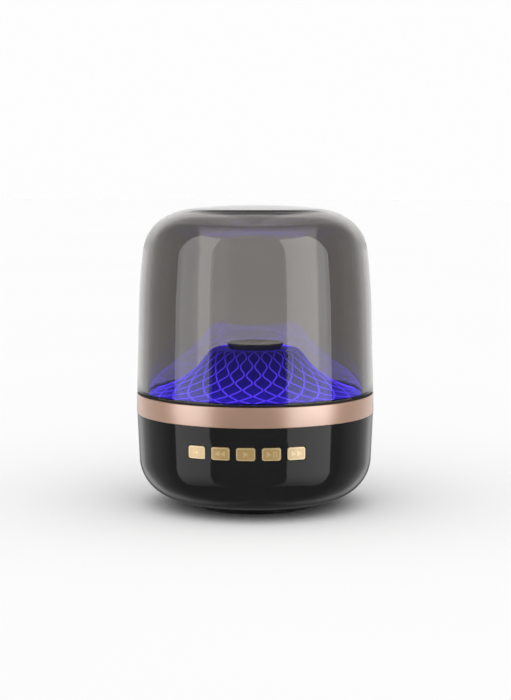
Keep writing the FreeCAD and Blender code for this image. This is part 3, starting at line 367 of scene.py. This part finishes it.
BASKET = plain("basket_steel", (0.025, 0.025, 0.026), 0.42, 0.3, grain_strength=0.12).material
GASKET = plain("gasket_foam", (0.03, 0.03, 0.03), 0.9, grain=1500.0, grain_strength=0.5).material
SURROUND = plain("soft_rubber", (0.018, 0.018, 0.018), 0.65, grain_strength=0.2).material
PAPER = plain("cone_paper", (0.045, 0.043, 0.04), 0.85, grain=1500.0, grain_strength=0.6).material
DUST_CAP = plain("dust_cap_film", (0.03, 0.03, 0.03), 0.35).material
SPIDER = woven("spider_cloth", (0.5, 0.34, 0.12))
FORMER = plain("former_film", (0.45, 0.2, 0.04), 0.35, patches=600.0).material
COPPER = plain("copper_wire", (0.75, 0.33, 0.17), 0.3, 1.0, 900.0, grain_strength=0.3).material
FERRITE_LOOK = plain("magnet_ferrite", (0.04, 0.04, 0.043), 0.6, grain=1200.0, grain_strength=0.3)
FERRITE = FERRITE_LOOK.material
FIBRE = plain("tag_fibre", (0.32, 0.17, 0.06), 0.7, patches=900.0, grain_strength=0.4).material
BRASS = plain("lug_brass", (0.78, 0.6, 0.3), 0.3, 1.0, patches=700.0).material
FOIL_LOOK = plain("battery_foil", (0.62, 0.63, 0.65), 0.33, 0.9, 90.0, VARY, 700.0, 0.3)
FOIL = FOIL_LOOK.material
TAPE = plain("battery_tape", (0.82, 0.82, 0.78), 0.7, grain_strength=0.3).material
CAN = plain("can_aluminium", (0.65, 0.65, 0.66), 0.3, 1.0, patches=500.0).material
INDUCTOR = plain("inductor_grey", (0.10, 0.10, 0.10), 0.7, grain_strength=0.4).material
NYLON = plain("socket_nylon", (0.8, 0.77, 0.66), 0.45, patches=500.0).material
TONGUE = plain("tongue_black", (0.018, 0.018, 0.018), 0.4).material
KNOB = plain("knob_black", (0.022, 0.022, 0.022), 0.35, grain_strength=0.15).material
BUTTON = plain("button_plastic", (0.7, 0.67, 0.58), 0.4, patches=900.0).material
SHEATH = plain("lead_sheath", (0.3, 0.015, 0.012), 0.35, patches=200.0, vary=0.2).material

CARRIED = {
    "base_shell": GLOSS_BLACK,
    "deck_frame": MATTE_BLACK,
    "baffle_plate": MATTE_BLACK,
    "led_board": WHITE_BOARD,
    "leds": LED_CASE,
    "case_screws": STEEL,
    "baffle_screws": STEEL,
    "driver_screws": STEEL,
    "board_screws": STEEL,
    "driver_gasket": GASKET,
    "driver_basket": BASKET,
    "driver_diaphragm": PAPER,
    "driver_dust_cap": DUST_CAP,
    "driver_spider": SPIDER,
    "driver_top_plate": PLATE_STEEL,
    "driver_magnet": FERRITE,
    "driver_yoke": PLATE_STEEL,
    "driver_tag_board": FIBRE,
    "driver_terminals": BRASS,
    "voice_coil_former": FORMER,
    "voice_coil": COPPER,
    "battery_cell": FOIL,
    "battery_guard_board": GREEN_BOARD,
    "battery_pad": TAPE,
    "main_board": GREEN_BOARD,
    "bluetooth_chip": CHIP,
    "amplifier_chip": CHIP,
    "power_inductor": INDUCTOR,
    "crystal_can": SOCKET_STEEL,
    "board_capacitors": CAN,
    "lead_sockets": NYLON,
    "usb_c_shell": SOCKET_STEEL,
    "usb_c_tongue": TONGUE,
    "power_switch": SOCKET_STEEL,
    "switch_knob": KNOB,
    "key_board": GREEN_BOARD,
    "tact_switches": SOCKET_STEEL,
    "battery_leads": SHEATH,
    "speaker_leads": SHEATH,
    "led_leads": SHEATH,
    "key_leads": SHEATH,
}
KEYS = 5
for number in range(1, KEYS + 1):
    CARRIED["key_cap_%d" % number] = KEY_GOLD
    CARRIED["tact_button_%d" % number] = BUTTON

for node, material in CARRIED.items():
    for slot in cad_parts[node].material_slots:
        slot.material = material

# ---------------------------------------------------------------- shapes

AROUND = 256
CREASE = 35.0
ON_AXIS = 1e-7


def link(name, mesh, material, sharp=CREASE):
    """A new piece in the scene: smooth, with creases where faces meet at over sharp degrees."""
    mesh.materials.append(material)
    mesh.shade_smooth()
    mesh.set_sharp_from_angle(angle=math.radians(sharp))
    thing = bpy.data.objects.new(name, mesh)
    bpy.context.scene.collection.objects.link(thing)
    return thing


def revolved(name, outline, material, around=AROUND, sharp=CREASE):
    """The surface that a closed outline of (radius, height) points sweeps round the axis."""
    points, faces, rings = [], [], []
    for radius, height in outline:
        if radius < ON_AXIS:
            rings.append([len(points)] * around)
            points.append((0.0, 0.0, height))
            continue
        rings.append(list(range(len(points), len(points) + around)))
        for step in range(around):
            angle = 2 * math.pi * step / around
            points.append((radius * math.cos(angle), radius * math.sin(angle), height))
    for first, second in zip(rings, rings[1:] + rings[:1]):
        for step in range(around):
            after = (step + 1) % around
            corners = []
            for index in (first[step], first[after], second[after], second[step]):
                if index not in corners:
                    corners.append(index)
            if len(corners) > 2:
                faces.append(corners)
    mesh = bpy.data.meshes.new(name)
    mesh.from_pydata(points, [], faces)
    mesh.update()
    return link(name, mesh, material, sharp)


ARC_DEGREES = 3.0


def chain(start, heading, steps, inset, spacing):
    """Points along tangent lines and arcs, moved to their left by inset.

    A point is (radius, height, heading). A step is (length,) for a line, or (radius, degrees) for
    an arc, which turns left when degrees is above 0.
    """
    angle = math.radians(heading)
    radius = start[0] - inset * math.sin(angle)
    height = start[1] + inset * math.cos(angle)
    points = [(radius, height, angle)]
    for step in steps:
        if len(step) == 1:
            pieces = max(1, round(step[0] / spacing))
            for _ in range(pieces):
                radius += step[0] / pieces * math.cos(angle)
                height += step[0] / pieces * math.sin(angle)
                points.append((radius, height, angle))
            continue
        sweep = math.radians(step[1])
        side = math.copysign(1.0, sweep)
        bend = step[0] - side * inset
        centre = (radius - side * bend * math.sin(angle), height + side * bend * math.cos(angle))
        pieces = max(2, round(step[0] * abs(sweep) / spacing), round(abs(step[1]) / ARC_DEGREES))
        for _ in range(pieces):
            angle += sweep / pieces
            radius = centre[0] + side * bend * math.sin(angle)
            height = centre[1] - side * bend * math.cos(angle)
            points.append((radius, height, angle))
    return points


def flat(points):
    """Those points without their headings."""
    return [(max(radius, 0.0), height) for radius, height, _ in points]


def belongs(thing, slot, *nodes):
    """thing moves with the body and stands in for those CAD nodes; slot is not used."""
    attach(thing, "body")
    if nodes:
        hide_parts(*nodes)


# ---------------------------------------------------------------- the dome

DOME_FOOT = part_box("dome_cover")[0].z
DOME_FOOT_RADIUS = 42.88 * MM
DOME_WALL = 3.7 * MM
DOME_CROWN_WALL = 2.8 * MM
DOME_LEAN = 1.6
DOME_STEPS = ((29.2 * MM,), (230.0 * MM, 5.4), (15.4 * MM, 47.4), (22.3 * MM, 29.3))
DOME_BEVEL = 0.25 * MM
DOME_SPACING = 1.5 * MM
DOME_CREASE = 25.0


def dome_outline():
    """The dome's section: up its outside to the axis and back down its inside.

    The inside is lifted, so that the crown is thinner than the wall.
    """
    start = (DOME_FOOT_RADIUS, DOME_FOOT)
    shoulder = chain(start, 90 + DOME_LEAN, DOME_STEPS, 0.0, MM)[-1]
    left = 90 - DOME_LEAN - sum(step[1] for step in DOME_STEPS if len(step) > 1)
    steps = DOME_STEPS + ((shoulder[0] / math.sin(math.radians(left)), left),)
    outer = flat(chain(start, 90 + DOME_LEAN, steps, 0.0, DOME_SPACING))
    inner = flat(chain(start, 90 + DOME_LEAN, steps, DOME_WALL, DOME_SPACING))
    lifted = [(radius, height + DOME_WALL - DOME_CROWN_WALL) for radius, height in inner]
    inner = [inner[0]] + lifted
    outer[-1] = (0.0, outer[-1][1])
    inner[-1] = (0.0, inner[-1][1])
    foot = [
        (inner[0][0], DOME_FOOT + DOME_BEVEL),
        (inner[0][0] + DOME_BEVEL, DOME_FOOT),
        (outer[0][0] - DOME_BEVEL, DOME_FOOT),
        (outer[0][0], DOME_FOOT + DOME_BEVEL),
    ]
    return foot + outer[1:] + inner[:0:-1]


dome = revolved("smoked_dome", dome_outline(), SMOKED, sharp=DOME_CREASE)
belongs(dome, "smoked_acrylic", "dome_cover")

# ---------------------------------------------------------------- seal, ring and foot

EDGE_STEPS = 4
SEAL_INNER = 39.5 * MM
SEAL_EDGE = 0.15 * MM
RING_INNER = 41.8 * MM
RING_EDGE = 0.28 * MM
FOOT_EDGE = 0.35 * MM


def slab(node, inner, edge):
    """A turned ring or disc the size of its CAD node, with rounded edges."""
    low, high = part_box(node)
    outer = high.x
    corners = []
    for centre_z, start in ((low.z + edge, -90.0), (high.z - edge, 0.0)):
        for step in range(EDGE_STEPS + 1):
            angle = math.radians(start + 90.0 * step / EDGE_STEPS)
            radius = outer - edge + edge * math.cos(angle)
            corners.append((radius, centre_z + edge * math.sin(angle)))
    return [(inner, low.z)] + corners + [(inner, high.z)]


seal = revolved("dome_gasket", slab("dome_seal", SEAL_INNER, SEAL_EDGE), SEAL)
belongs(seal, "seal_foam", "dome_seal")
ring = revolved("rose_gold_band", slab("trim_ring", RING_INNER, RING_EDGE), ROSE_GOLD)
belongs(ring, "rose_gold_metal", "trim_ring")
foot = revolved("rubber_foot", slab("foot_pad", 0.0, FOOT_EDGE), RUBBER)
belongs(foot, "foot_rubber", "foot_pad")

# ---------------------------------------------------------------- the driver's rubber roll

LIP_LOW, LIP_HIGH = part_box("driver_surround")
LIP_NEAR = 15.5 * MM
ROLL_CENTRE = 17.6 * MM
ROLL_OUTER = 1.4 * MM
ROLL_INNER = 1.05 * MM
ROLL_ARC_STEPS = 12
ROLL_SECTORS = 12
SECTOR_STEPS = 8


def roll_outline():
    """The rubber roll round the driver's paper: it bulges down between two flat lips."""
    under, over = LIP_LOW.z + ROLL_OUTER, LIP_HIGH.z
    deep = ROLL_INNER + over - under
    below, above = [], []
    for step in range(ROLL_ARC_STEPS + 1):
        turn = math.pi * step / ROLL_ARC_STEPS
        cosine, sine = math.cos(turn), math.sin(turn)
        below.append((ROLL_CENTRE - ROLL_OUTER * cosine, under - ROLL_OUTER * sine))
        above.append((ROLL_CENTRE + ROLL_INNER * cosine, over - deep * sine))
    far_lip = [(LIP_HIGH.x, under), (LIP_HIGH.x, over)]
    return [(LIP_NEAR, under)] + below + far_lip + above + [(LIP_NEAR, over)]


def sector(name, outline, material, first, last):
    """A slice of what a closed outline sweeps round the axis, closed at both ends."""
    points, faces, count = [], [], len(outline)
    for step in range(SECTOR_STEPS + 1):
        angle = first + (last - first) * step / SECTOR_STEPS
        for radius, height in outline:
            points.append((radius * math.cos(angle), radius * math.sin(angle), height))
    for here in range(0, SECTOR_STEPS * count, count):
        there = here + count
        for index in range(count):
            after = (index + 1) % count
            faces.append((here + index, there + index, there + after, here + after))
    faces.append(tuple(range(count)))
    faces.append(tuple(reversed(range(SECTOR_STEPS * count, len(points)))))
    mesh = bpy.data.meshes.new(name)
    mesh.from_pydata(points, [], faces)
    mesh.update()
    return link(name, mesh, material)


def flexing_roll():
    """The roll in slices round the axis, in place of the CAD roll."""
    turn = 2 * math.pi / ROLL_SECTORS
    for number in range(ROLL_SECTORS):
        slice_name = "driver_roll_%02d" % (number + 1)
        piece = sector(slice_name, roll_outline(), SURROUND, turn * number, turn * (number + 1))
        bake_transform(piece)
        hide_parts("driver_surround")


flexing_roll()

# ---------------------------------------------------------------- the light piece

BRIM = (39.1 * MM, 41.07 * MM)
BRIM_RISE = 12.0
CONE_STEPS = ((40.0 * MM, -28.0), (12.0 * MM, -12.0), (4.97 * MM,), (4.5 * MM, 52.0))
CONE_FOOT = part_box("light_cone")[0].z
CONE_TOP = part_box("light_cone")[1].z
CONE_WALL = 1.2 * MM
CONE_SPACING = 0.8 * MM
PEG_HOLE = 3.1 * MM
LINES = 48
ROWS = (2.0, 4.6, 7.9, 11.8, 15.7, 19.6, 23.4, 26.9, 30.0, 33.2)
LINE_STEPS = 9
LATTICE_TURN = math.radians(2.87)
RIB_WIDTH = (0.36 * MM, 0.25 * MM)
RIB_HEIGHT = 0.22 * MM
RIB_CREASE = 50.0
RIB_STEPS = 6
FINE = 0.1 * MM
SUNK = 0.08 * MM
# The ribs start a little below the first crossing, under the seal's edge, at this row and
# length along the bell.
RIB_START = (-0.55, 0.55 * MM)
# The ribs' swing, as a share of the space between two: SWING at first, and SWING_LOST less from
# SWING_ROWS on.
SWING = 0.95
SWING_LOST = 0.28
SWING_ROWS = 6.0
# The ribs are pointed at their turns up to the first row below and round from the second one on.
POINTED_ROW = 1.0
ROUND_ROW = 4.5


def cone_outline():
    """The bell's section: up its outside to the peg's hole and back down its inside."""
    outer = flat(chain(BRIM, 180 - BRIM_RISE, CONE_STEPS, 0.0, CONE_SPACING))
    inner = flat(chain(BRIM, 180 - BRIM_RISE, CONE_STEPS, CONE_WALL, CONE_SPACING))
    top, low = outer[-1][1], inner[-1][1]
    inner = [point for point in inner if point[1] > CONE_FOOT + CONE_WALL]
    toe = inner[0][0]
    foot = [(toe, CONE_FOOT), (BRIM[0], CONE_FOOT)]
    return foot + outer + [(PEG_HOLE, top), (PEG_HOLE, low)] + inner[::-1]


cone = revolved("lit_bell", cone_outline(), CELL_GLOW)
belongs(cone, "light_piece", "light_cone")

PROFILE = chain(BRIM, 180 - BRIM_RISE, CONE_STEPS, 0.0, FINE)


def on_bell(length):
    """(radius, height, heading) at that length along the bell from its brim."""
    for first, second in zip(PROFILE, PROFILE[1:]):
        part = math.hypot(second[0] - first[0], second[1] - first[1])
        if length <= part:
            share = length / part
            return tuple(a + share * (b - a) for a, b in zip(first, second))
        length -= part
    radius, height, heading = PROFILE[-1]
    return radius - length, height, heading


def wave(row):
    """How far a line swings at that row, from -1 to 1: pointed low down, rounded higher up."""
    phase = math.cos(math.pi * row)
    pointed = 1 - 2 * math.acos(max(-1.0, min(1.0, phase))) / math.pi
    share = min(1.0, max(0.0, (row - POINTED_ROW) / (ROUND_ROW - POINTED_ROW)))
    swing = SWING - SWING_LOST * min(1.0, max(0.0, row / SWING_ROWS))
    return swing * (pointed + share * (phase - pointed))


def lattice():
    """Ribs that wave towards and away from each other, so that they frame pointed cells."""
    points, faces = [], []
    section = [math.pi * step / RIB_STEPS for step in range(RIB_STEPS + 1)]
    samples = [RIB_START]
    for row, (near, far) in enumerate(zip(ROWS, ROWS[1:])):
        for step in range(LINE_STEPS):
            share = step / LINE_STEPS
            samples.append((row + share, (near + share * (far - near)) * MM))
    samples.append((len(ROWS) - 1.0, ROWS[-1] * MM))
    for line in range(LINES):
        base = 2 * math.pi * (line + 0.5) / LINES + LATTICE_TURN
        side = 1 if line % 2 else -1
        path = []
        for row, length in samples:
            radius, height, heading = on_bell(length)
            angle = base + side * wave(row) * math.pi / LINES
            spot = Vector((radius * math.cos(angle), radius * math.sin(angle), height))
            out = Vector((math.cos(angle), math.sin(angle), 0.0))
            normal = out * math.sin(heading) - Vector((0, 0, 1)) * math.cos(heading)
            wide = RIB_WIDTH[0] + (RIB_WIDTH[1] - RIB_WIDTH[0]) * max(0.0, row) / (len(ROWS) - 1)
            path.append((spot, normal.normalized(), wide))
        first = len(points)
        for index, (spot, normal, wide) in enumerate(path):
            before = path[max(index - 1, 0)][0]
            after = path[min(index + 1, len(path) - 1)][0]
            along = (after - before).normalized()
            across = along.cross(normal).normalized()
            for turn in section:
                rise = (RIB_HEIGHT + SUNK) * math.sin(turn) - SUNK
                points.append(spot + across * wide * math.cos(turn) + normal * rise)
        count = len(section)
        for index in range(len(path) - 1):
            low = first + index * count
            for step in range(count - 1):
                here, there = low + step, low + count + step
                faces.append((here, here + 1, there + 1, there))
            faces.append((low + count - 1, low, low + count, low + 2 * count - 1))
        last = first + (len(path) - 1) * count
        faces.append(tuple(first + step for step in reversed(range(count))))
        faces.append(tuple(last + step for step in range(count)))
    mesh = bpy.data.meshes.new("glowing_lattice")
    mesh.from_pydata(points, [], faces)
    mesh.update()
    return link("glowing_lattice", mesh, LATTICE_GLOW, RIB_CREASE)


belongs(lattice(), "light_piece")

# ---------------------------------------------------------------- the cap

CAP_RADIUS = 10.35 * MM
CAP_UNDER_RADIUS = 9.6 * MM
CAP_LIP_RADIUS = 9.4 * MM
CAP_DISH = 0.4 * MM
CAP_DISH_STEPS = 8
CAP_EDGE = 0.2 * MM
CAP_UNDER_EDGE = 0.1 * MM
PEG_RADIUS = 3.0 * MM
CAP_AROUND = 128


def cap_outline():
    """A peg, a disc that widens upwards with softened edges, and a shallow dish in its top."""
    low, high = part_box("cone_cap")
    foot, plate, top = low.z, CONE_TOP, high.z
    outline = [
        (0.0, foot),
        (PEG_RADIUS - CAP_EDGE, foot),
        (PEG_RADIUS, foot + CAP_EDGE),
        (PEG_RADIUS, plate),
        (CAP_UNDER_RADIUS - CAP_UNDER_EDGE, plate),
        (CAP_UNDER_RADIUS, plate + CAP_UNDER_EDGE),
        (CAP_RADIUS, top - 1.5 * CAP_EDGE),
        (CAP_RADIUS - 0.25 * CAP_EDGE, top - 0.5 * CAP_EDGE),
        (CAP_RADIUS - CAP_EDGE, top),
        (CAP_LIP_RADIUS, top),
    ]
    for step in range(1, CAP_DISH_STEPS + 1):
        left = 1 - step / CAP_DISH_STEPS
        outline.append((CAP_LIP_RADIUS * left, top - CAP_DISH * (1 - left ** 2)))
    return outline


cap = revolved("bell_cap", cap_outline(), CAP, around=CAP_AROUND)
belongs(cap, "cap_grey", "cone_cap")

# ---------------------------------------------------------------- floor, lights and air

WHITE = 0.985
DIM = 0.1
BACK = (-math.sin(CAMERA_AZIMUTH), math.cos(CAMERA_AZIMUTH), 0.0)


def ramp(tree, source, stops):
    """A curve of straight pieces through (position, value) stops."""
    made = tree.nodes.new("ShaderNodeValToRGB")
    elements = made.color_ramp.elements
    while len(elements) < len(stops):
        elements.new(0.5)
    for element, (position, value) in zip(elements, stops):
        element.position = position
        element.color = (value, value, value, 1.0)
    tree.links.new(source, made.inputs["Fac"])
    return made.outputs["Color"]


# What gloss mirrors: a wall behind the object, by the cosine of the bearing from it ...
WALL = ((0.0, DIM), (0.1, 0.17), (0.25, 0.25), (0.5, 0.34), (0.73, 0.6), (0.82, 0.9), (1.0, WHITE))
# ... cut off above and below, by the sine of the elevation: sooner straight behind than to the
# sides. Each blend is the band of the first cosine over which the sides give way to the middle.
LOW_SIDE = ((-1.0, 0.2), (-0.6, 0.6), (-0.45, 1.0), (1.0, 1.0))
LOW_MIDDLE = ((-1.0, 0.1), (-0.208, 0.12), (-0.156, 0.5), (-0.113, 1.0), (1.0, 1.0))
LOW_BLEND = (0.88, 0.97)
HIGH_SIDE = ((-1.0, 1.0), (0.3, 1.0), (0.45, 0.6), (0.6, 0.2), (0.75, 0.1), (1.0, 0.1))
HIGH_MIDDLE = ((-1.0, 1.0), (0.255, 1.0), (0.28, 0.2), (0.5, 0.2), (0.6, 0.1), (1.0, 0.1))
HIGH_BLEND = (0.987, 0.995)
# What light meets once it has been mirrored inside clear plastic: a softer wall, with a dark slot
# straight behind.
INNER = ((0.0, DIM), (0.5, 0.25), (0.8, 0.5), (0.93, 0.75), (1.0, WHITE))
SLOT = ((-1.0, 1.0), (0.255, 1.0), (0.28, 0.16), (0.56, 0.16), (0.6, 0.6), (1.0, 0.5))
# What shows through the dome, by the same cosine: side screens that are dimmer near the middle,
# and a bright narrow screen straight behind, with soft edges between these cosines, and between
# these sines at its top.
SIDE_SCREENS = ((0.0, WHITE), (0.72, WHITE), (0.86, 0.52), (1.0, 0.52))
SCREEN_TOP = (0.2, 0.05)
SCREEN_EDGE = (math.cos(math.radians(5.25)), math.cos(math.radians(4.95)))
SCREEN_BEARING = CAMERA_AZIMUTH - math.radians(0.35)
SCREEN = (-math.sin(SCREEN_BEARING), math.cos(SCREEN_BEARING), 0.0)
# What lights matt surfaces: air that is brighter overhead and on the camera's side.
AIR_LEVEL = 0.4 * WHITE
AIR_OVERHEAD = 1.2 * WHITE
FRONT_SHARE = 0.6
# Light that has met no mirroring surface yet has a glossy depth of 0, which is below this.
UNMIRRORED = 0.5


def make_world():
    """White air all round; clear parts show screens behind, and gloss mirrors a dark studio."""
    world = bpy.data.worlds.new("studio")
    bpy.context.scene.world = world
    world.use_nodes = True
    tree = world.node_tree

    def wire(value, socket):
        """A link when value is a socket, a constant when it is a number."""
        if isinstance(value, bpy.types.NodeSocket):
            tree.links.new(value, socket)
        else:
            socket.default_value = value

    def maths(operation, first, second=0.0):
        made = tree.nodes.new("ShaderNodeMath")
        made.operation = operation
        wire(first, made.inputs[0])
        wire(second, made.inputs[1])
        return made.outputs["Value"]

    def choose(share, first, second):
        """first where share is 0, second where it is 1."""
        made = tree.nodes.new("ShaderNodeMix")
        wire(share, made.inputs["Factor"])
        wire(first, made.inputs["A"])
        wire(second, made.inputs["B"])
        return made.outputs["Result"]

    ray = tree.nodes.new("ShaderNodeLightPath")
    place = tree.nodes.new("ShaderNodeTexCoord").outputs["Generated"]
    upright = tree.nodes.new("ShaderNodeSeparateXYZ")
    tree.links.new(place, upright.inputs["Vector"])
    level = tree.nodes.new("ShaderNodeVectorMath")
    level.operation = "MULTIPLY"
    level.inputs[1].default_value = (1.0, 1.0, 0.0)
    tree.links.new(place, level.inputs[0])
    unit = tree.nodes.new("ShaderNodeVectorMath")
    unit.operation = "NORMALIZE"
    tree.links.new(level.outputs["Vector"], unit.inputs[0])

    def towards(direction):
        """The cosine of the bearing from direction."""
        made = tree.nodes.new("ShaderNodeVectorMath")
        made.operation = "DOT_PRODUCT"
        made.inputs[1].default_value = direction
        tree.links.new(unit.outputs["Vector"], made.inputs[0])
        return made.outputs["Value"]

    behind = towards(BACK)
    rise = upright.outputs["Z"]

    def by_height(stops):
        """A curve of (sine of the elevation, value) stops."""
        half = maths("MULTIPLY", maths("ADD", rise, 1.0), 0.5)
        return ramp(tree, half, [((sine + 1) / 2, value) for sine, value in stops])

    def between(source, low, high):
        """0 at low, 1 at high and straight between them."""
        made = tree.nodes.new("ShaderNodeMapRange")
        made.inputs["From Min"].default_value = low
        made.inputs["From Max"].default_value = high
        tree.links.new(source, made.inputs["Value"])
        return made.outputs["Result"]

    low = choose(between(behind, *LOW_BLEND), by_height(LOW_SIDE), by_height(LOW_MIDDLE))
    middle = between(behind, *HIGH_BLEND)
    high = choose(middle, by_height(HIGH_SIDE), by_height(HIGH_MIDDLE))
    wall = maths("MULTIPLY", ramp(tree, behind, WALL), maths("MULTIPLY", low, high))
    mirrored = maths("MAXIMUM", wall, DIM)
    slot = choose(middle, 1.0, by_height(SLOT))
    inner = maths("MULTIPLY", ramp(tree, behind, INNER), maths("MULTIPLY", low, slot))
    edge = maths("MULTIPLY", between(towards(SCREEN), *SCREEN_EDGE), between(rise, *SCREEN_TOP))
    seen = choose(edge, ramp(tree, behind, SIDE_SCREENS), WHITE)
    squared = maths("MULTIPLY", rise, rise)
    overhead = maths("ADD", maths("MULTIPLY", squared, AIR_OVERHEAD), AIR_LEVEL)
    overhead = maths("MULTIPLY", overhead, maths("GREATER_THAN", rise, 0.0))
    front = tree.nodes.new("ShaderNodeVectorMath")
    front.operation = "DOT_PRODUCT"
    front.inputs[1].default_value = [-FRONT_SHARE * part for part in BACK]
    tree.links.new(place, front.inputs[0])
    sky = maths("MULTIPLY", overhead, maths("ADD", front.outputs["Value"], 1.0))

    straight = maths("LESS_THAN", ray.outputs["Glossy Depth"], UNMIRRORED)
    through = choose(straight, inner, seen)
    bounced = choose(ray.outputs["Is Diffuse Ray"], WHITE, sky)
    bounced = choose(ray.outputs["Is Glossy Ray"], bounced, mirrored)
    bounced = choose(ray.outputs["Is Transmission Ray"], bounced, through)
    air = tree.nodes["Background"]
    air.inputs["Color"].default_value = (1, 1, 1, 1)
    tree.links.new(bounced, air.inputs["Strength"])
    world.cycles.sampling_method = "NONE"


# Panels stand this far from the axis, between these elevations in degrees, and their corners are
# rounded over this many degrees.
PANEL_DISTANCE = 1.6
PANEL_LOW = -41.0
PANEL_HIGH = 50.0
PANEL_CORNER = 9.0
PANEL_CORNER_TALL = 1.6
PANEL_INNER_CUT = 0.4
PANEL_COLUMNS = 36
PANEL_ROWS = 48
FOOT_SHARE = 0.1


def panel(name, near, far, grades, toe):
    """An upright softbox bent round the object, with rounded outer corners.

    near and far are bearings from the camera's side in degrees, positive to the right. grades are
    the radiances at the near and far edges, which fade below the table's height. toe is how many
    degrees the foot reaches towards the middle.
    """
    look = bpy.data.materials.new(name)
    look.use_nodes = True
    tree = look.node_tree
    tree.nodes.remove(tree.nodes["Principled BSDF"])
    light = tree.nodes.new("ShaderNodeEmission")
    grade = tree.nodes.new("ShaderNodeAttribute")
    grade.attribute_name = "grade"
    tree.links.new(grade.outputs["Fac"], light.inputs["Strength"])
    tree.links.new(light.outputs["Emission"], tree.nodes["Material Output"].inputs["Surface"])
    points, faces, levels = [], [], []
    bottom = PANEL_DISTANCE * math.tan(math.radians(PANEL_LOW))
    top = PANEL_DISTANCE * math.tan(math.radians(PANEL_HIGH))
    corner_height = PANEL_DISTANCE * math.radians(PANEL_CORNER) * PANEL_CORNER_TALL
    side = math.copysign(1.0, far)
    for row in range(PANEL_ROWS + 1):
        height = bottom + (top - bottom) * row / PANEL_ROWS
        margin = min(height - bottom, top - height)
        share = max(0.0, 1 - margin / corner_height)
        cut = PANEL_CORNER * (1 - math.sqrt(max(0.0, 1 - share * share)))
        reach = max(0.0, 1 - (height - bottom) / corner_height)
        inner_cut = cut * PANEL_INNER_CUT if height > 0 else 0.0
        inner = near - side * toe * reach ** 2 + side * inner_cut
        outer = far - side * cut
        for column in range(PANEL_COLUMNS + 1):
            across = column / PANEL_COLUMNS
            angle = math.radians(inner + (outer - inner) * across) + CAMERA_AZIMUTH - math.pi / 2
            x, y = PANEL_DISTANCE * math.cos(angle), PANEL_DISTANCE * math.sin(angle)
            points.append((x, y, height))
            fading = FOOT_SHARE + (1 - FOOT_SHARE) * min(1.0, max(0.0, 1 + height / PANEL_DISTANCE))
            levels.append((grades[0] + (grades[1] - grades[0]) * across) * fading)
            if row and column:
                last = len(points) - 1
                below = last - PANEL_COLUMNS - 1
                faces.append((below - 1, below, last, last - 1))
    mesh = bpy.data.meshes.new(name)
    mesh.from_pydata(points, [], faces)
    layer = mesh.attributes.new("grade", "FLOAT", "POINT")
    for item, value in zip(layer.data, levels):
        item.value = value
    mesh.materials.append(look)
    box = bpy.data.objects.new(name, mesh)
    bpy.context.scene.collection.objects.link(box)
    box.visible_camera = False
    box.visible_diffuse = False
    box.visible_shadow = False


FLOOR_HALF = 6.0


def make_floor():
    """A plain pale floor, which clear and glossy parts neither show nor mirror."""
    look = Look("pale_floor")
    colours = look.blend(look.remap(look.noise(3.0), 0.0, 1.0), (0.99, 0.99, 0.99), (1.0, 1.0, 1.0))
    look.link(colours, look.shader.inputs["Base Color"])
    look.set(Roughness=0.9, Specular_IOR_Level=0.0)
    mesh = bpy.data.meshes.new("floor")
    corners = [(FLOOR_HALF * x, FLOOR_HALF * y, 0) for x, y in ((-1, -1), (1, -1), (1, 1), (-1, 1))]
    mesh.from_pydata(corners, [], [(0, 1, 2, 3)])
    mesh.materials.append(look.material)
    floor = bpy.data.objects.new("floor", mesh)
    bpy.context.scene.collection.objects.link(floor)
    floor.visible_glossy = False
    floor.visible_transmission = False


make_world()
make_floor()
panel("softbox_left", near=-44.0, far=-82.5, grades=(1.21, 1.42), toe=16.0)
panel("softbox_right", near=30.5, far=77.5, grades=(1.33, 1.8), toe=14.0)
